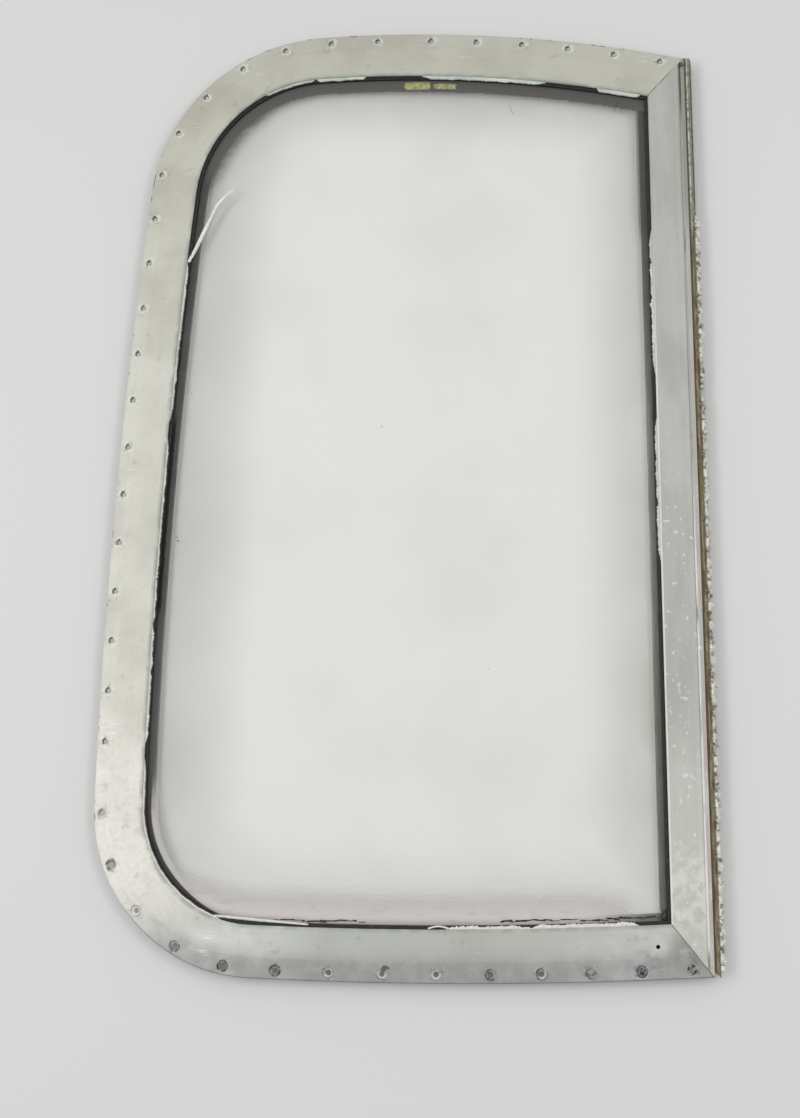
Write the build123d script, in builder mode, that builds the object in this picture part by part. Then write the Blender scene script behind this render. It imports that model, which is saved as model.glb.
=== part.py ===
from build123d import *
import os
from math import atan2, cos, degrees, hypot, radians, sin, sqrt, tan

os.makedirs("parts", exist_ok=True)

# A D-shaped caravan window, lying on its back with its outer face up (+Z).
# +Y runs towards the top of the window and +X towards its straight jamb.
# The origin is under the middle of the outline, in the plane that the frame rests on.

# Outline of the bent frame: three long arcs and two corner bends
window_width = 455.0
window_height = 740.0
top_radius = 1037.0
top_crown = 281.0  # from the right edge to the highest point
side_radius = 5150.0
side_crown = 125.0  # from the bottom edge to the point furthest left
bottom_radius = 3260.0
bottom_crown = 242.0  # from the right edge to the lowest point
top_corner_radius = 140.0
bottom_corner_radius = 123.0

# Section of the bent frame, measured inwards from its outer edge
frame_depth = 12.6
face_width = 37.0
flange_width = 15.0
flange_drop = 1.8
flange_edge = 1.6
lip_thickness = 2.2
lip_chamfer = 0.7
rib_thickness = 1.6
groove_width = 9.4

# Glazing channel, the same in the bent frame and in the jamb
lip_overlap = 8.2
channel_web = 1.8
back_leg_thickness = 2.0
back_leg_reach = 7.0

# Glass and its rubber
glass_thickness = 3.2
rubber_front_leg = 2.2
rubber_web = 2.0
rubber_clearance = 0.2
rubber_front_show = 2.4
rubber_back_show = 0.5

# Straight jamb
jamb_width = 28.4
jamb_wall = 2.2
jamb_rib = 2.8
jamb_groove = 1.0
jamb_groove_depth = 1.2
jamb_bevel = 0.9
mitre_gap = 0.2

# Pile weather strip on the jamb's outer wall
pile_stand = 6.2
pile_channel_depth = 4.4
pile_channel_height = 8.0
pile_channel_wall = 0.6
pile_channel_base = 3.2
pile_backing = 1.2
pile_clearance = 0.1
pile_end_cut = 4.0

# Screw holes through the flange: start and pitch of each row along the line of holes.
# The top and side rows run from the right edge at the top, the others from the right
# edge at the bottom, and the side row stops short of the bottom row by at least a gap.
hole_inset = 6.2
hole_radius = 2.0
sink_angle = 100.0
small_sink_radius = 3.1
large_sink_radius = 3.9
top_row = (24.6, 36.7)
top_count = 6
side_row = (251.5, 38.1)
side_gap = 45.0
bottom_row = (160.9, 38.6)
bottom_count = 10
end_row = (21.3, 34.6)
end_count = 4
tear_size = 3.4
tear_shift = 2.6

# Corner keys behind the mitres
key_side_clearance = 0.4
key_thickness = 3.0
key_leg = 45.0
key_clearance = 0.3
key_jamb_inset = 10.3
key_hole_radius = 1.5
key_hole_from_corner = 27.7

# What is left in the last holes of the bottom edge
fitting_clearance = 0.1
screw_length = 11.0
screw_slot = 1.0
screw_slot_depth = 0.8
screw_slot_turn = 60.0
filling_sink = 0.3

# Old sealant, tape and a peeled strip on the glass. The ends of the top beads lie along
# the lip from the right edge at the top, those of the other beads from the bottom one.
bead_width = 1.8
bead_height = 1.2
bead_clearance = 0.35
top_beads = ((42.0, 72.0), (117.0, 216.0), (262.0, 345.0))
side_beads = ((512.0, 747.0), (762.0, 882.0))
bottom_beads = ((57.0, 192.0), (237.0, 327.0), (357.0, 417.0))
jamb_beads = ((-68.0, 40.0), (75.0, 190.0))
tape_length = 44.0
tape_width = 6.0
tape_thickness = 0.3
tape_from_lip = 7.0
tape_from_right = 207.0
strip_width = 1.8
strip_thickness = 0.6
strip_from_lip = 3.8
strip_from_top = 191.0
strip_lean = 75.3
strip_radii = (480.0, 20.0, 110.0)
strip_turns = (6.0, 34.0, 8.0)

# Levels above the plane that the frame rests on
face_level = frame_depth
lip_level = face_level - lip_thickness
flange_top = face_level - flange_drop
flange_back = flange_top - flange_edge
glass_top = lip_level - rubber_front_leg
glass_bottom = glass_top - glass_thickness

# Edges of the window and of the jamb
right_edge = window_width / 2
left_edge = -window_width / 2
top_edge = window_height / 2
bottom_edge = -window_height / 2
jamb_outer = right_edge - pile_stand
jamb_lip = jamb_outer - jamb_width
glass_overlap = lip_overlap - rubber_web - 2 * rubber_clearance
glass_inset = face_width - glass_overlap
glass_right = jamb_lip + glass_overlap
groove_inner = face_width - lip_overlap - channel_web
groove_outer = groove_inner - groove_width
groove_middle = (groove_outer + groove_inner) / 2
rib_inset = groove_outer - rib_thickness
key_width = groove_width - 2 * key_side_clearance
past_mitre = 40.0


def bearing(start, end):
    """Angle of the line from one point to another, from 0 to 360 degrees."""
    return degrees(atan2(end[1] - start[1], end[0] - start[0])) % 360


def corner_centre(first, first_radius, second, second_radius, radius, near):
    """Centre of a bend that runs smoothly into two arcs, the one nearest a point."""
    a = first_radius - radius
    b = second_radius - radius
    apart = hypot(second[0] - first[0], second[1] - first[1])
    along = (a * a - b * b + apart * apart) / (2 * apart)
    aside = sqrt(a * a - along * along)
    ux = (second[0] - first[0]) / apart
    uy = (second[1] - first[1]) / apart
    found = []
    for side in (-aside, aside):
        found.append((first[0] + ux * along - uy * side, first[1] + uy * along + ux * side))
    return min(found, key=lambda p: hypot(p[0] - near[0], p[1] - near[1]))


top_centre = (right_edge - top_crown, top_edge - top_radius)
side_centre = (left_edge + side_radius, bottom_edge + side_crown)
bottom_centre = (right_edge - bottom_crown, bottom_edge + bottom_radius)
upper_centre = corner_centre(
    top_centre, top_radius, side_centre, side_radius, top_corner_radius, (left_edge, top_edge)
)
lower_centre = corner_centre(
    side_centre,
    side_radius,
    bottom_centre,
    bottom_radius,
    bottom_corner_radius,
    (left_edge, bottom_edge),
)


def top_height(inset, x):
    """Height of the top arc, set in from the outline, above a point of the X axis."""
    return top_centre[1] + sqrt((top_radius - inset) ** 2 - (x - top_centre[0]) ** 2)


def bottom_height(inset, x):
    """Height of the bottom arc, set in from the outline, at a point of the X axis."""
    return bottom_centre[1] - sqrt((bottom_radius - inset) ** 2 - (x - bottom_centre[0]) ** 2)


def side_reach(inset, y):
    """The point of the side arc, set in from the outline, at a height."""
    return side_centre[0] - sqrt((side_radius - inset) ** 2 - (y - side_centre[1]) ** 2)


def outline(inset, right):
    """The five arcs of the outline set in by a distance: centre, radius, start and end angle."""
    start = bearing(top_centre, (right, top_height(inset, right)))
    end = bearing(bottom_centre, (right, bottom_height(inset, right)))
    upper_start = bearing(top_centre, upper_centre)
    upper_end = bearing(side_centre, upper_centre)
    lower_start = bearing(side_centre, lower_centre)
    lower_end = bearing(bottom_centre, lower_centre)
    return [
        (top_centre, top_radius - inset, start, upper_start),
        (upper_centre, top_corner_radius - inset, upper_start, upper_end),
        (side_centre, side_radius - inset, upper_end, lower_start),
        (lower_centre, bottom_corner_radius - inset, lower_start, lower_end),
        (bottom_centre, bottom_radius - inset, lower_end, end),
    ]


def outline_length(inset):
    """Length of the outline, set in, from the right edge at the top to the one below."""
    return sum(radius * radians(end - start) for _, radius, start, end in outline(inset, right_edge))


def outline_range(inset, first, last):
    """The pieces of the outline's arcs between two distances along it from the right edge."""
    pieces = []
    passed = 0.0
    for centre, radius, start, end in outline(inset, right_edge):
        length = radius * radians(end - start)
        low = max(first - passed, 0.0)
        high = min(last - passed, length)
        if low < high:
            turn_low = start + degrees(low / radius)
            turn_high = start + degrees(high / radius)
            pieces.append((centre, radius, turn_low, turn_high))
        passed += length
    return pieces


def outline_point(inset, distance):
    """The point at a distance along the outline, set in, from the right edge at the top."""
    passed = 0.0
    for centre, radius, start, end in outline(inset, right_edge):
        length = radius * radians(end - start)
        if distance <= passed + length:
            turn = radians(start) + (distance - passed) / radius
            return (centre[0] + radius * cos(turn), centre[1] + radius * sin(turn))
        passed += length


def section_plane(centre, radius, turn):
    """Upright plane across an arc: its X axis points inwards and its Y axis up."""
    c = cos(radians(turn))
    s = sin(radians(turn))
    start = (centre[0] + radius * c, centre[1] + radius * s, 0)
    return Plane(origin=start, x_dir=(-c, -s, 0), z_dir=(-s, c, 0))


def bend(section, arcs):
    """Bend a section round each arc in turn, as a length of extrusion is bent."""
    for centre, radius, start, end in arcs:
        with BuildSketch(section_plane(centre, radius, start)) as placed:
            add(section)
        revolve(placed.sketch, axis=Axis((*centre, 0), (0, 0, 1)), revolution_arc=end - start)


def jamb_plane(y):
    """Upright plane across the jamb: its X axis points inwards and its Y axis up."""
    return Plane(origin=(jamb_outer, y, 0), x_dir=(-1, 0, 0), z_dir=(0, 1, 0))


def lengthen(first, second, before, after):
    """A line through two points, lengthened past each by a distance."""
    length = hypot(second[0] - first[0], second[1] - first[1])
    ux = (second[0] - first[0]) / length
    uy = (second[1] - first[1]) / length
    return [
        (first[0] - ux * before, first[1] - uy * before),
        (second[0] + ux * after, second[1] + uy * after),
    ]


def mitre_zone(gap):
    """Plan of the jamb's side of the two mitres, drawn back from them by a gap."""
    top_line = lengthen(
        (jamb_lip, top_height(face_width, jamb_lip) - gap),
        (jamb_outer, top_height(0, jamb_outer) - gap),
        past_mitre,
        past_mitre,
    )
    bottom_line = lengthen(
        (jamb_lip, bottom_height(face_width, jamb_lip) + gap),
        (jamb_outer, bottom_height(0, jamb_outer) + gap),
        past_mitre,
        past_mitre,
    )
    with BuildSketch() as zone:
        with BuildLine():
            Polyline(top_line[1], top_line[0], bottom_line[0], bottom_line[1], close=True)
        make_face()
    return zone.sketch


def glazing_edge(width):
    """Lip, channel and back leg of a section whose lip stands at a width, then its back."""
    channel = width - lip_overlap
    web = channel - channel_web
    Polyline(
        (width - lip_chamfer, face_level),
        (width, face_level - lip_chamfer),
        (width, lip_level + lip_chamfer),
        (width - lip_chamfer, lip_level),
        (channel, lip_level),
        (channel, back_leg_thickness),
        (width + back_leg_reach, back_leg_thickness),
        (width + back_leg_reach, 0),
        (web, 0),
        (web, lip_level),
    )


def frame_section():
    """Section of the bent frame: sloping flange, flat land, rib and glazing channel."""
    with BuildSketch() as section:
        with BuildLine():
            Polyline(
                (groove_inner, lip_level),
                (groove_outer, lip_level),
                (groove_outer, 0),
                (rib_inset, 0),
                (rib_inset, flange_back),
                (0, flange_back),
                (0, flange_top),
                (flange_width, face_level),
                (face_width - lip_chamfer, face_level),
            )
            glazing_edge(face_width)
        make_face()
    return section.sketch


def jamb_section():
    """Section of the jamb: outer wall with a rib, a groove, the flat face and the channel."""
    groove_end = jamb_rib + jamb_groove
    with BuildSketch() as section:
        with BuildLine():
            Polyline(
                (jamb_width - lip_overlap - channel_web, lip_level),
                (jamb_wall, lip_level),
                (jamb_wall, 0),
                (0, 0),
                (0, face_level),
                (jamb_rib, face_level),
                (jamb_rib, face_level - jamb_groove_depth),
                (groove_end, face_level - jamb_groove_depth),
                (groove_end, face_level - jamb_bevel),
                (groove_end + jamb_bevel, face_level),
                (jamb_width - lip_chamfer, face_level),
            )
            glazing_edge(jamb_width)
        make_face()
    return section.sketch


def rubber_section(width):
    """Section of the U-shaped glazing rubber round the edge of the glass."""
    outer = width - lip_overlap + rubber_clearance
    inner = outer + rubber_web
    with BuildSketch() as section:
        with BuildLine():
            Polyline(
                (outer, back_leg_thickness),
                (outer, lip_level),
                (width + rubber_front_show, lip_level),
                (width + rubber_front_show, glass_top),
                (inner, glass_top),
                (inner, glass_bottom),
                (width + back_leg_reach + rubber_back_show, glass_bottom),
                (width + back_leg_reach + rubber_back_show, back_leg_thickness),
                close=True,
            )
        make_face()
    return section.sketch


def row_points(row, count, from_bottom=False):
    """Centres of a row of holes, measured from either end of the line of holes."""
    start, pitch = row
    distances = [start + pitch * i for i in range(count)]
    if from_bottom:
        distances = [hole_line - distance for distance in distances]
    return [outline_point(hole_inset, distance) for distance in distances]


def key_line(height, lean):
    """Middle line of a corner key, from the bent frame through the corner into the jamb."""
    x = jamb_outer - key_jamb_inset
    corner = (x, height(groove_middle, x))
    foot = (x - key_leg, height(groove_middle, x - key_leg))
    return [foot, corner, (x, corner[1] + lean * key_leg)]


def key_plan(height, lean, clearance):
    """Plan of a corner key, grown all round by a clearance."""
    foot, corner, head = key_line(height, lean)
    with BuildSketch() as plan:
        for start, end in ((corner, foot), (corner, head)):
            with BuildLine():
                Line(*lengthen(start, end, key_width / 2 + clearance, clearance))
            trace(line_width=key_width + 2 * clearance)
    return plan.sketch


hole_line = outline_length(hole_inset)
bottom_row_end = bottom_row[0] + bottom_row[1] * (bottom_count - 1)
side_room = hole_line - bottom_row_end - side_gap - side_row[0]
side_count = int(side_room / side_row[1]) + 1
small_holes = row_points(top_row, top_count) + row_points(side_row, side_count)
bottom_holes = row_points(bottom_row, bottom_count, from_bottom=True)
end_holes = row_points(end_row, end_count, from_bottom=True)
torn_hole = bottom_holes[2]
screw_place, plug_place, rivet_place = end_holes[:3]
flange_slope = flange_drop / flange_width
hole_level = flange_top + flange_slope * hole_inset
sink_tangent = tan(radians(sink_angle / 2))
keys = ((top_height, -1), (bottom_height, 1))
key_hole_x = jamb_outer - key_jamb_inset - key_hole_from_corner
key_hole_y = bottom_height(groove_middle, key_hole_x)


def sink_holes(places, sink_radius):
    """Countersunk holes through the flange, whose sinks reach its sloping face all round."""
    rise = flange_slope * sink_radius
    with Locations(*[(x, y, hole_level + rise) for x, y in places]):
        CounterSinkHole(
            radius=hole_radius,
            counter_sink_radius=sink_radius + rise * sink_tangent,
            counter_sink_angle=sink_angle,
            depth=frame_depth,
        )


# Bent frame
with BuildPart() as curved_frame:
    bend(frame_section(), outline(0, right_edge + past_mitre / 4))
    with BuildSketch():
        add(mitre_zone(0))
    extrude(amount=2 * frame_depth, both=True, mode=Mode.SUBTRACT)
    sink_holes(small_holes, small_sink_radius)
    sink_holes(bottom_holes + end_holes, large_sink_radius)
    with BuildSketch(Plane.XY):
        with Locations((torn_hole[0] + tear_shift, torn_hole[1] + tear_shift)):
            Circle(tear_size)
        with Locations((torn_hole[0] + 2 * tear_shift, torn_hole[1])):
            Circle(tear_size, mode=Mode.SUBTRACT)
    extrude(amount=frame_depth, mode=Mode.SUBTRACT)
    for height, lean in keys:
        with BuildSketch(Plane.XY.offset(lip_level)):
            add(key_plan(height, lean, key_clearance))
        extrude(amount=-key_thickness - key_clearance, mode=Mode.SUBTRACT)
    with Locations((key_hole_x, key_hole_y, face_level)):
        Hole(radius=key_hole_radius, depth=lip_thickness + key_thickness)
curved_frame.part.label = "curved_frame"
export_step(curved_frame.part, "parts/curved_frame.step")

# Straight jamb, mitred to the bent frame at both ends
with BuildPart() as straight_jamb:
    with BuildSketch(jamb_plane(bottom_edge)):
        add(jamb_section())
    extrude(amount=window_height)
    with BuildSketch():
        add(mitre_zone(mitre_gap))
    extrude(amount=2 * frame_depth, both=True, mode=Mode.INTERSECT)
    for height, lean in keys:
        with BuildSketch(Plane.XY.offset(lip_level)):
            add(key_plan(height, lean, key_clearance))
        extrude(amount=-key_thickness - key_clearance, mode=Mode.SUBTRACT)
straight_jamb.part.label = "straight_jamb"
export_step(straight_jamb.part, "parts/straight_jamb.step")

# Glass
with BuildPart() as glass_pane:
    with BuildSketch(Plane.XY.offset(glass_bottom)):
        with BuildLine():
            for centre, radius, start, end in outline(glass_inset, glass_right):
                CenterArc(centre, radius, start, end - start)
            Line(
                (glass_right, bottom_height(glass_inset, glass_right)),
                (glass_right, top_height(glass_inset, glass_right)),
            )
        make_face()
    extrude(amount=glass_thickness)
glass_pane.part.label = "glass_pane"
export_step(glass_pane.part, "parts/glass_pane.step")

# Glazing rubber in the bent frame
with BuildPart() as curve_rubber:
    bend(rubber_section(face_width), outline(0, right_edge + past_mitre / 4))
    with BuildSketch():
        add(mitre_zone(0))
    extrude(amount=2 * frame_depth, both=True, mode=Mode.SUBTRACT)
curve_rubber.part.label = "curve_rubber"
export_step(curve_rubber.part, "parts/curve_rubber.step")

# Glazing rubber in the jamb
with BuildPart() as jamb_rubber:
    with BuildSketch(jamb_plane(bottom_edge)):
        add(rubber_section(jamb_width))
    extrude(amount=window_height)
    with BuildSketch():
        add(mitre_zone(mitre_gap))
    extrude(amount=2 * frame_depth, both=True, mode=Mode.INTERSECT)
jamb_rubber.part.label = "jamb_rubber"
export_step(jamb_rubber.part, "parts/jamb_rubber.step")

# Corner keys, flat against the underside of the face
with BuildPart() as top_key:
    with BuildSketch(Plane.XY.offset(lip_level)):
        add(key_plan(top_height, -1, 0))
    extrude(amount=-key_thickness)
top_key.part.label = "top_key"
export_step(top_key.part, "parts/top_key.step")

with BuildPart() as bottom_key:
    with BuildSketch(Plane.XY.offset(lip_level)):
        add(key_plan(bottom_height, 1, 0))
    extrude(amount=-key_thickness)
    with Locations((key_hole_x, key_hole_y, lip_level)):
        Hole(radius=key_hole_radius, depth=key_thickness)
bottom_key.part.label = "bottom_key"
export_step(bottom_key.part, "parts/bottom_key.step")

# Pile weather strip: a steel channel against the jamb, the woven backing and the pile
pile_low = bottom_height(0, jamb_outer)
pile_high = top_height(0, jamb_outer) - mitre_gap
channel_top = pile_channel_base + pile_channel_height
channel_face = -pile_channel_depth
backing_face = -pile_channel_wall - pile_backing
inner_low = pile_channel_base + pile_channel_wall
inner_high = channel_top - pile_channel_wall

with BuildPart() as pile_channel:
    with BuildSketch(jamb_plane(pile_low)):
        with BuildLine():
            Polyline(
                (0, pile_channel_base),
                (channel_face, pile_channel_base),
                (channel_face, inner_low),
                (-pile_channel_wall, inner_low),
                (-pile_channel_wall, inner_high),
                (channel_face, inner_high),
                (channel_face, channel_top),
                (0, channel_top),
                close=True,
            )
        make_face()
    extrude(amount=pile_high - pile_low)
    with BuildSketch(Plane.XY):
        with BuildLine():
            Polyline(
                (jamb_outer, pile_low),
                (jamb_outer, pile_low + pile_end_cut),
                (jamb_outer + pile_channel_depth, pile_low),
                close=True,
            )
        make_face()
    extrude(amount=frame_depth, mode=Mode.SUBTRACT)
pile_channel.part.label = "pile_channel"
export_step(pile_channel.part, "parts/pile_channel.step")

with BuildPart() as pile_base:
    with BuildSketch(jamb_plane(pile_low + pile_end_cut)):
        with BuildLine():
            Polyline(
                (-pile_channel_wall, inner_low + pile_clearance),
                (-pile_channel_wall, inner_high - pile_clearance),
                (backing_face, inner_high - pile_clearance),
                (backing_face, inner_low + pile_clearance),
                close=True,
            )
        make_face()
    extrude(amount=pile_high - pile_low - pile_end_cut)
pile_base.part.label = "pile_base"
export_step(pile_base.part, "parts/pile_base.step")

with BuildPart() as pile_brush:
    with BuildSketch(jamb_plane(pile_low + pile_end_cut)):
        with BuildLine():
            Polyline(
                (backing_face, inner_low + pile_clearance),
                (backing_face, inner_high - pile_clearance),
                (-pile_stand, inner_high - pile_clearance),
                (-pile_stand, inner_low + pile_clearance),
                close=True,
            )
        make_face()
    extrude(amount=pile_high - pile_low - pile_end_cut)
pile_brush.part.label = "pile_brush"
export_step(pile_brush.part, "parts/pile_brush.step")


def countersunk_filling(place, length):
    """A countersunk head and its shank in a hole of the bottom edge, set below the flange."""
    head_radius = large_sink_radius - filling_sink * sink_tangent - fitting_clearance
    shank_radius = hole_radius - fitting_clearance
    head_level = hole_level - filling_sink
    head_height = (head_radius - shank_radius) / sink_tangent
    with BuildSketch(Plane(origin=(*place, 0), x_dir=(1, 0, 0), z_dir=(0, -1, 0))) as half:
        with BuildLine():
            Polyline(
                (0, head_level),
                (head_radius, head_level),
                (shank_radius, head_level - head_height),
                (shank_radius, head_level - length),
                (0, head_level - length),
                close=True,
            )
        make_face()
    revolve(half.sketch, axis=Axis((*place, 0), (0, 0, 1)))


# Slotted screw left in the last hole
with BuildPart() as corner_screw:
    countersunk_filling(screw_place, screw_length)
    with Locations((*screw_place, hole_level - filling_sink)):
        Box(
            3 * large_sink_radius,
            screw_slot,
            2 * screw_slot_depth,
            rotation=(0, 0, screw_slot_turn),
            mode=Mode.SUBTRACT,
        )
corner_screw.part.label = "corner_screw"
export_step(corner_screw.part, "parts/corner_screw.step")

# Flush rivet and dark plug in the holes before it
with BuildPart() as flush_rivet:
    countersunk_filling(rivet_place, hole_level - flange_back)
flush_rivet.part.label = "flush_rivet"
export_step(flush_rivet.part, "parts/flush_rivet.step")

with BuildPart() as hole_plug:
    countersunk_filling(plug_place, hole_level - flange_back)
hole_plug.part.label = "hole_plug"
export_step(hole_plug.part, "parts/hole_plug.step")


def bead_section():
    """Three-sided bead on the rubber, in the corner beside the lip, drawn from the lip."""
    with BuildSketch() as section:
        with BuildLine():
            Polyline(
                (bead_clearance, lip_level),
                (bead_clearance, lip_level + bead_height),
                (bead_clearance + bead_width, lip_level),
                close=True,
            )
        make_face()
    return section.sketch


def lip_beads(runs, from_bottom=False):
    """Beads along the bent frame's lip, each between two distances from one of its ends."""
    lip_line = outline_length(face_width)
    for first, last in runs:
        if from_bottom:
            first, last = lip_line - last, lip_line - first
        bend(bead_section(), outline_range(face_width, first, last))


# Remains of sealant on the rubber along the lip
with BuildPart() as sealant_top:
    lip_beads(top_beads)
sealant_top.part.label = "sealant_top"
export_step(sealant_top.part, "parts/sealant_top.step")

with BuildPart() as sealant_side:
    lip_beads(side_beads, from_bottom=True)
sealant_side.part.label = "sealant_side"
export_step(sealant_side.part, "parts/sealant_side.step")

with BuildPart() as sealant_bottom:
    lip_beads(bottom_beads, from_bottom=True)
sealant_bottom.part.label = "sealant_bottom"
export_step(sealant_bottom.part, "parts/sealant_bottom.step")

with BuildPart() as sealant_jamb:
    for first, last in jamb_beads:
        lip_plane = Plane(origin=(jamb_lip, first, 0), x_dir=(-1, 0, 0), z_dir=(0, 1, 0))
        with BuildSketch(lip_plane):
            add(bead_section())
        extrude(amount=last - first)
sealant_jamb.part.label = "sealant_jamb"
export_step(sealant_jamb.part, "parts/sealant_jamb.step")

# Remnant of tape on the glass below the top lip
tape_x = right_edge - tape_from_right
tape_centre = (tape_x, top_height(face_width + tape_from_lip, tape_x))
with BuildPart() as tape_remnant:
    with BuildSketch(Plane.XY.offset(glass_top)):
        with Locations(tape_centre):
            Rectangle(tape_length, tape_width, rotation=bearing(top_centre, tape_centre) - 90)
    extrude(amount=tape_thickness)
tape_remnant.part.label = "tape_remnant"
export_step(tape_remnant.part, "parts/tape_remnant.step")

# Strip of sealant that has peeled off the left lip and lies over the glass
strip_y = top_edge - strip_from_top
strip_end = (side_reach(face_width + strip_from_lip, strip_y), strip_y)
strip_heading = (cos(radians(strip_lean)), sin(radians(strip_lean)))
with BuildPart() as peeled_strip:
    with BuildSketch(Plane.XY.offset(glass_top)):
        with BuildLine():
            for radius, turn in zip(strip_radii, strip_turns):
                curve = JernArc(strip_end, strip_heading, radius, -turn)
                strip_end = curve @ 1
                strip_heading = curve % 1
        trace(line_width=strip_width)
    extrude(amount=strip_thickness)
peeled_strip.part.label = "peeled_strip"
export_step(peeled_strip.part, "parts/peeled_strip.step")
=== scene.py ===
import logging
from dataclasses import dataclass
from enum import Enum
from functools import cached_property, reduce
from math import atan2, cos, degrees, pi, radians, sin, sqrt
from random import Random
from typing import Iterable

import bmesh
import bpy
from mathutils import Matrix, Vector, noise


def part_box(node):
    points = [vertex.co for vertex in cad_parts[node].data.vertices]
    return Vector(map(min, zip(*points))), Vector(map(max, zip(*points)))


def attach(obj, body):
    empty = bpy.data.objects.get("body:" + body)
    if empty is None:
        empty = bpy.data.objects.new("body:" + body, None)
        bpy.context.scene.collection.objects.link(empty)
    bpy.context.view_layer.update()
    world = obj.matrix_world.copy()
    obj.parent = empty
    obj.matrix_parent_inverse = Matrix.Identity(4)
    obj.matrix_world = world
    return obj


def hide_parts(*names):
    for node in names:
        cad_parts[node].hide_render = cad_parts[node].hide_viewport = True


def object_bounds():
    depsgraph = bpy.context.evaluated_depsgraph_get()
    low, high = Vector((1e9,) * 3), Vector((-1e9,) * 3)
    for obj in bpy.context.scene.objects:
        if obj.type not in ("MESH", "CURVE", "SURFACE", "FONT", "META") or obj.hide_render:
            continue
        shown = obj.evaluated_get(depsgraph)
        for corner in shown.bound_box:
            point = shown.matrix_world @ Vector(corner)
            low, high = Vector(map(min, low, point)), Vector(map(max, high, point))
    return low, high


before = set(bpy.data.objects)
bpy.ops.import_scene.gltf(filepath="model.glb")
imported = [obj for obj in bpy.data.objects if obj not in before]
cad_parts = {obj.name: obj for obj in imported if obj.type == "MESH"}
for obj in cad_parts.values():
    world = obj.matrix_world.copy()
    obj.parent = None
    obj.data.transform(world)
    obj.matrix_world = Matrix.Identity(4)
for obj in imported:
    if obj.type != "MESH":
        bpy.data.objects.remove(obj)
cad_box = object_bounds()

log = logging.getLogger("caravan_window")

MM = 0.001
BODY = "root"
UPRIGHT = Vector((0, 0, 1))
EVEN = (1, 1, 1)

Shape = bmesh.types.BMesh
Socket = bpy.types.NodeSocket
Value = Socket | Vector | float | tuple[float, ...]


def linear(hex_colour: str) -> tuple[float, float, float, float]:
    """Turn an sRGB hex colour into the linear colour that a shader takes.

    Args:
        hex_colour: six hex digits after a hash sign.

    Returns:
        Linear red, green and blue, and an alpha of 1.
    """
    channels = []
    for start in (1, 3, 5):
        value = int(hex_colour[start:start + 2], 16) / 255
        channels.append(value / 12.92 if value <= 0.04045 else ((value + 0.055) / 1.055) ** 2.4)
    return (*channels, 1.0)


def bearing(start: Vector, end: Vector) -> float:
    """Angle of the line from one point to another, from 0 to a full turn."""
    return atan2(end.y - start.y, end.x - start.x) % (2 * pi)


def towards(turn: float) -> Vector:
    """Unit vector in plan at an angle in radians."""
    return Vector((cos(turn), sin(turn)))


@dataclass(frozen=True)
class Wheel:
    """A circle that part of the outline lies on, in millimetres."""

    centre: Vector
    radius: float

    def height(self, inset: float, x: float, side: int) -> float:
        """Height of the circle, set in, at a point of the X axis; side is 1 above and -1 below."""
        return self.centre.y + side * sqrt((self.radius - inset) ** 2 - (x - self.centre.x) ** 2)

    def bend(self, other: "Wheel", radius: float, near: Vector) -> "Wheel":
        """Find the bend that joins this circle to another from inside.

        Args:
            other: the other circle.
            radius: the bend's radius.
            near: the corner of the outline that the bend is nearest to.

        Returns:
            The bend's circle.
        """
        reach, other_reach = self.radius - radius, other.radius - radius
        apart = (other.centre - self.centre).length
        along = (reach**2 - other_reach**2 + apart**2) / (2 * apart)
        aside = sqrt(reach**2 - along**2)
        unit = (other.centre - self.centre).normalized()
        across = Vector((-unit.y, unit.x))
        found = [self.centre + unit * along + across * aside * sign for sign in (-1, 1)]
        return Wheel(min(found, key=lambda point: (point - near).length), radius)


@dataclass(frozen=True)
class Arc:
    """One arc of the outline in millimetres, run anticlockwise with the window on its left."""

    centre: Vector
    radius: float
    start: float
    end: float

    @property
    def length(self) -> float:
        """Length of the arc."""
        return self.radius * (self.end - self.start)

    def at(self, distance: float) -> tuple[Vector, float]:
        """The point at a distance along the arc, and the direction of travel there."""
        turn = self.start + distance / self.radius
        return self.centre + self.radius * towards(turn), turn + pi / 2


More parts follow.
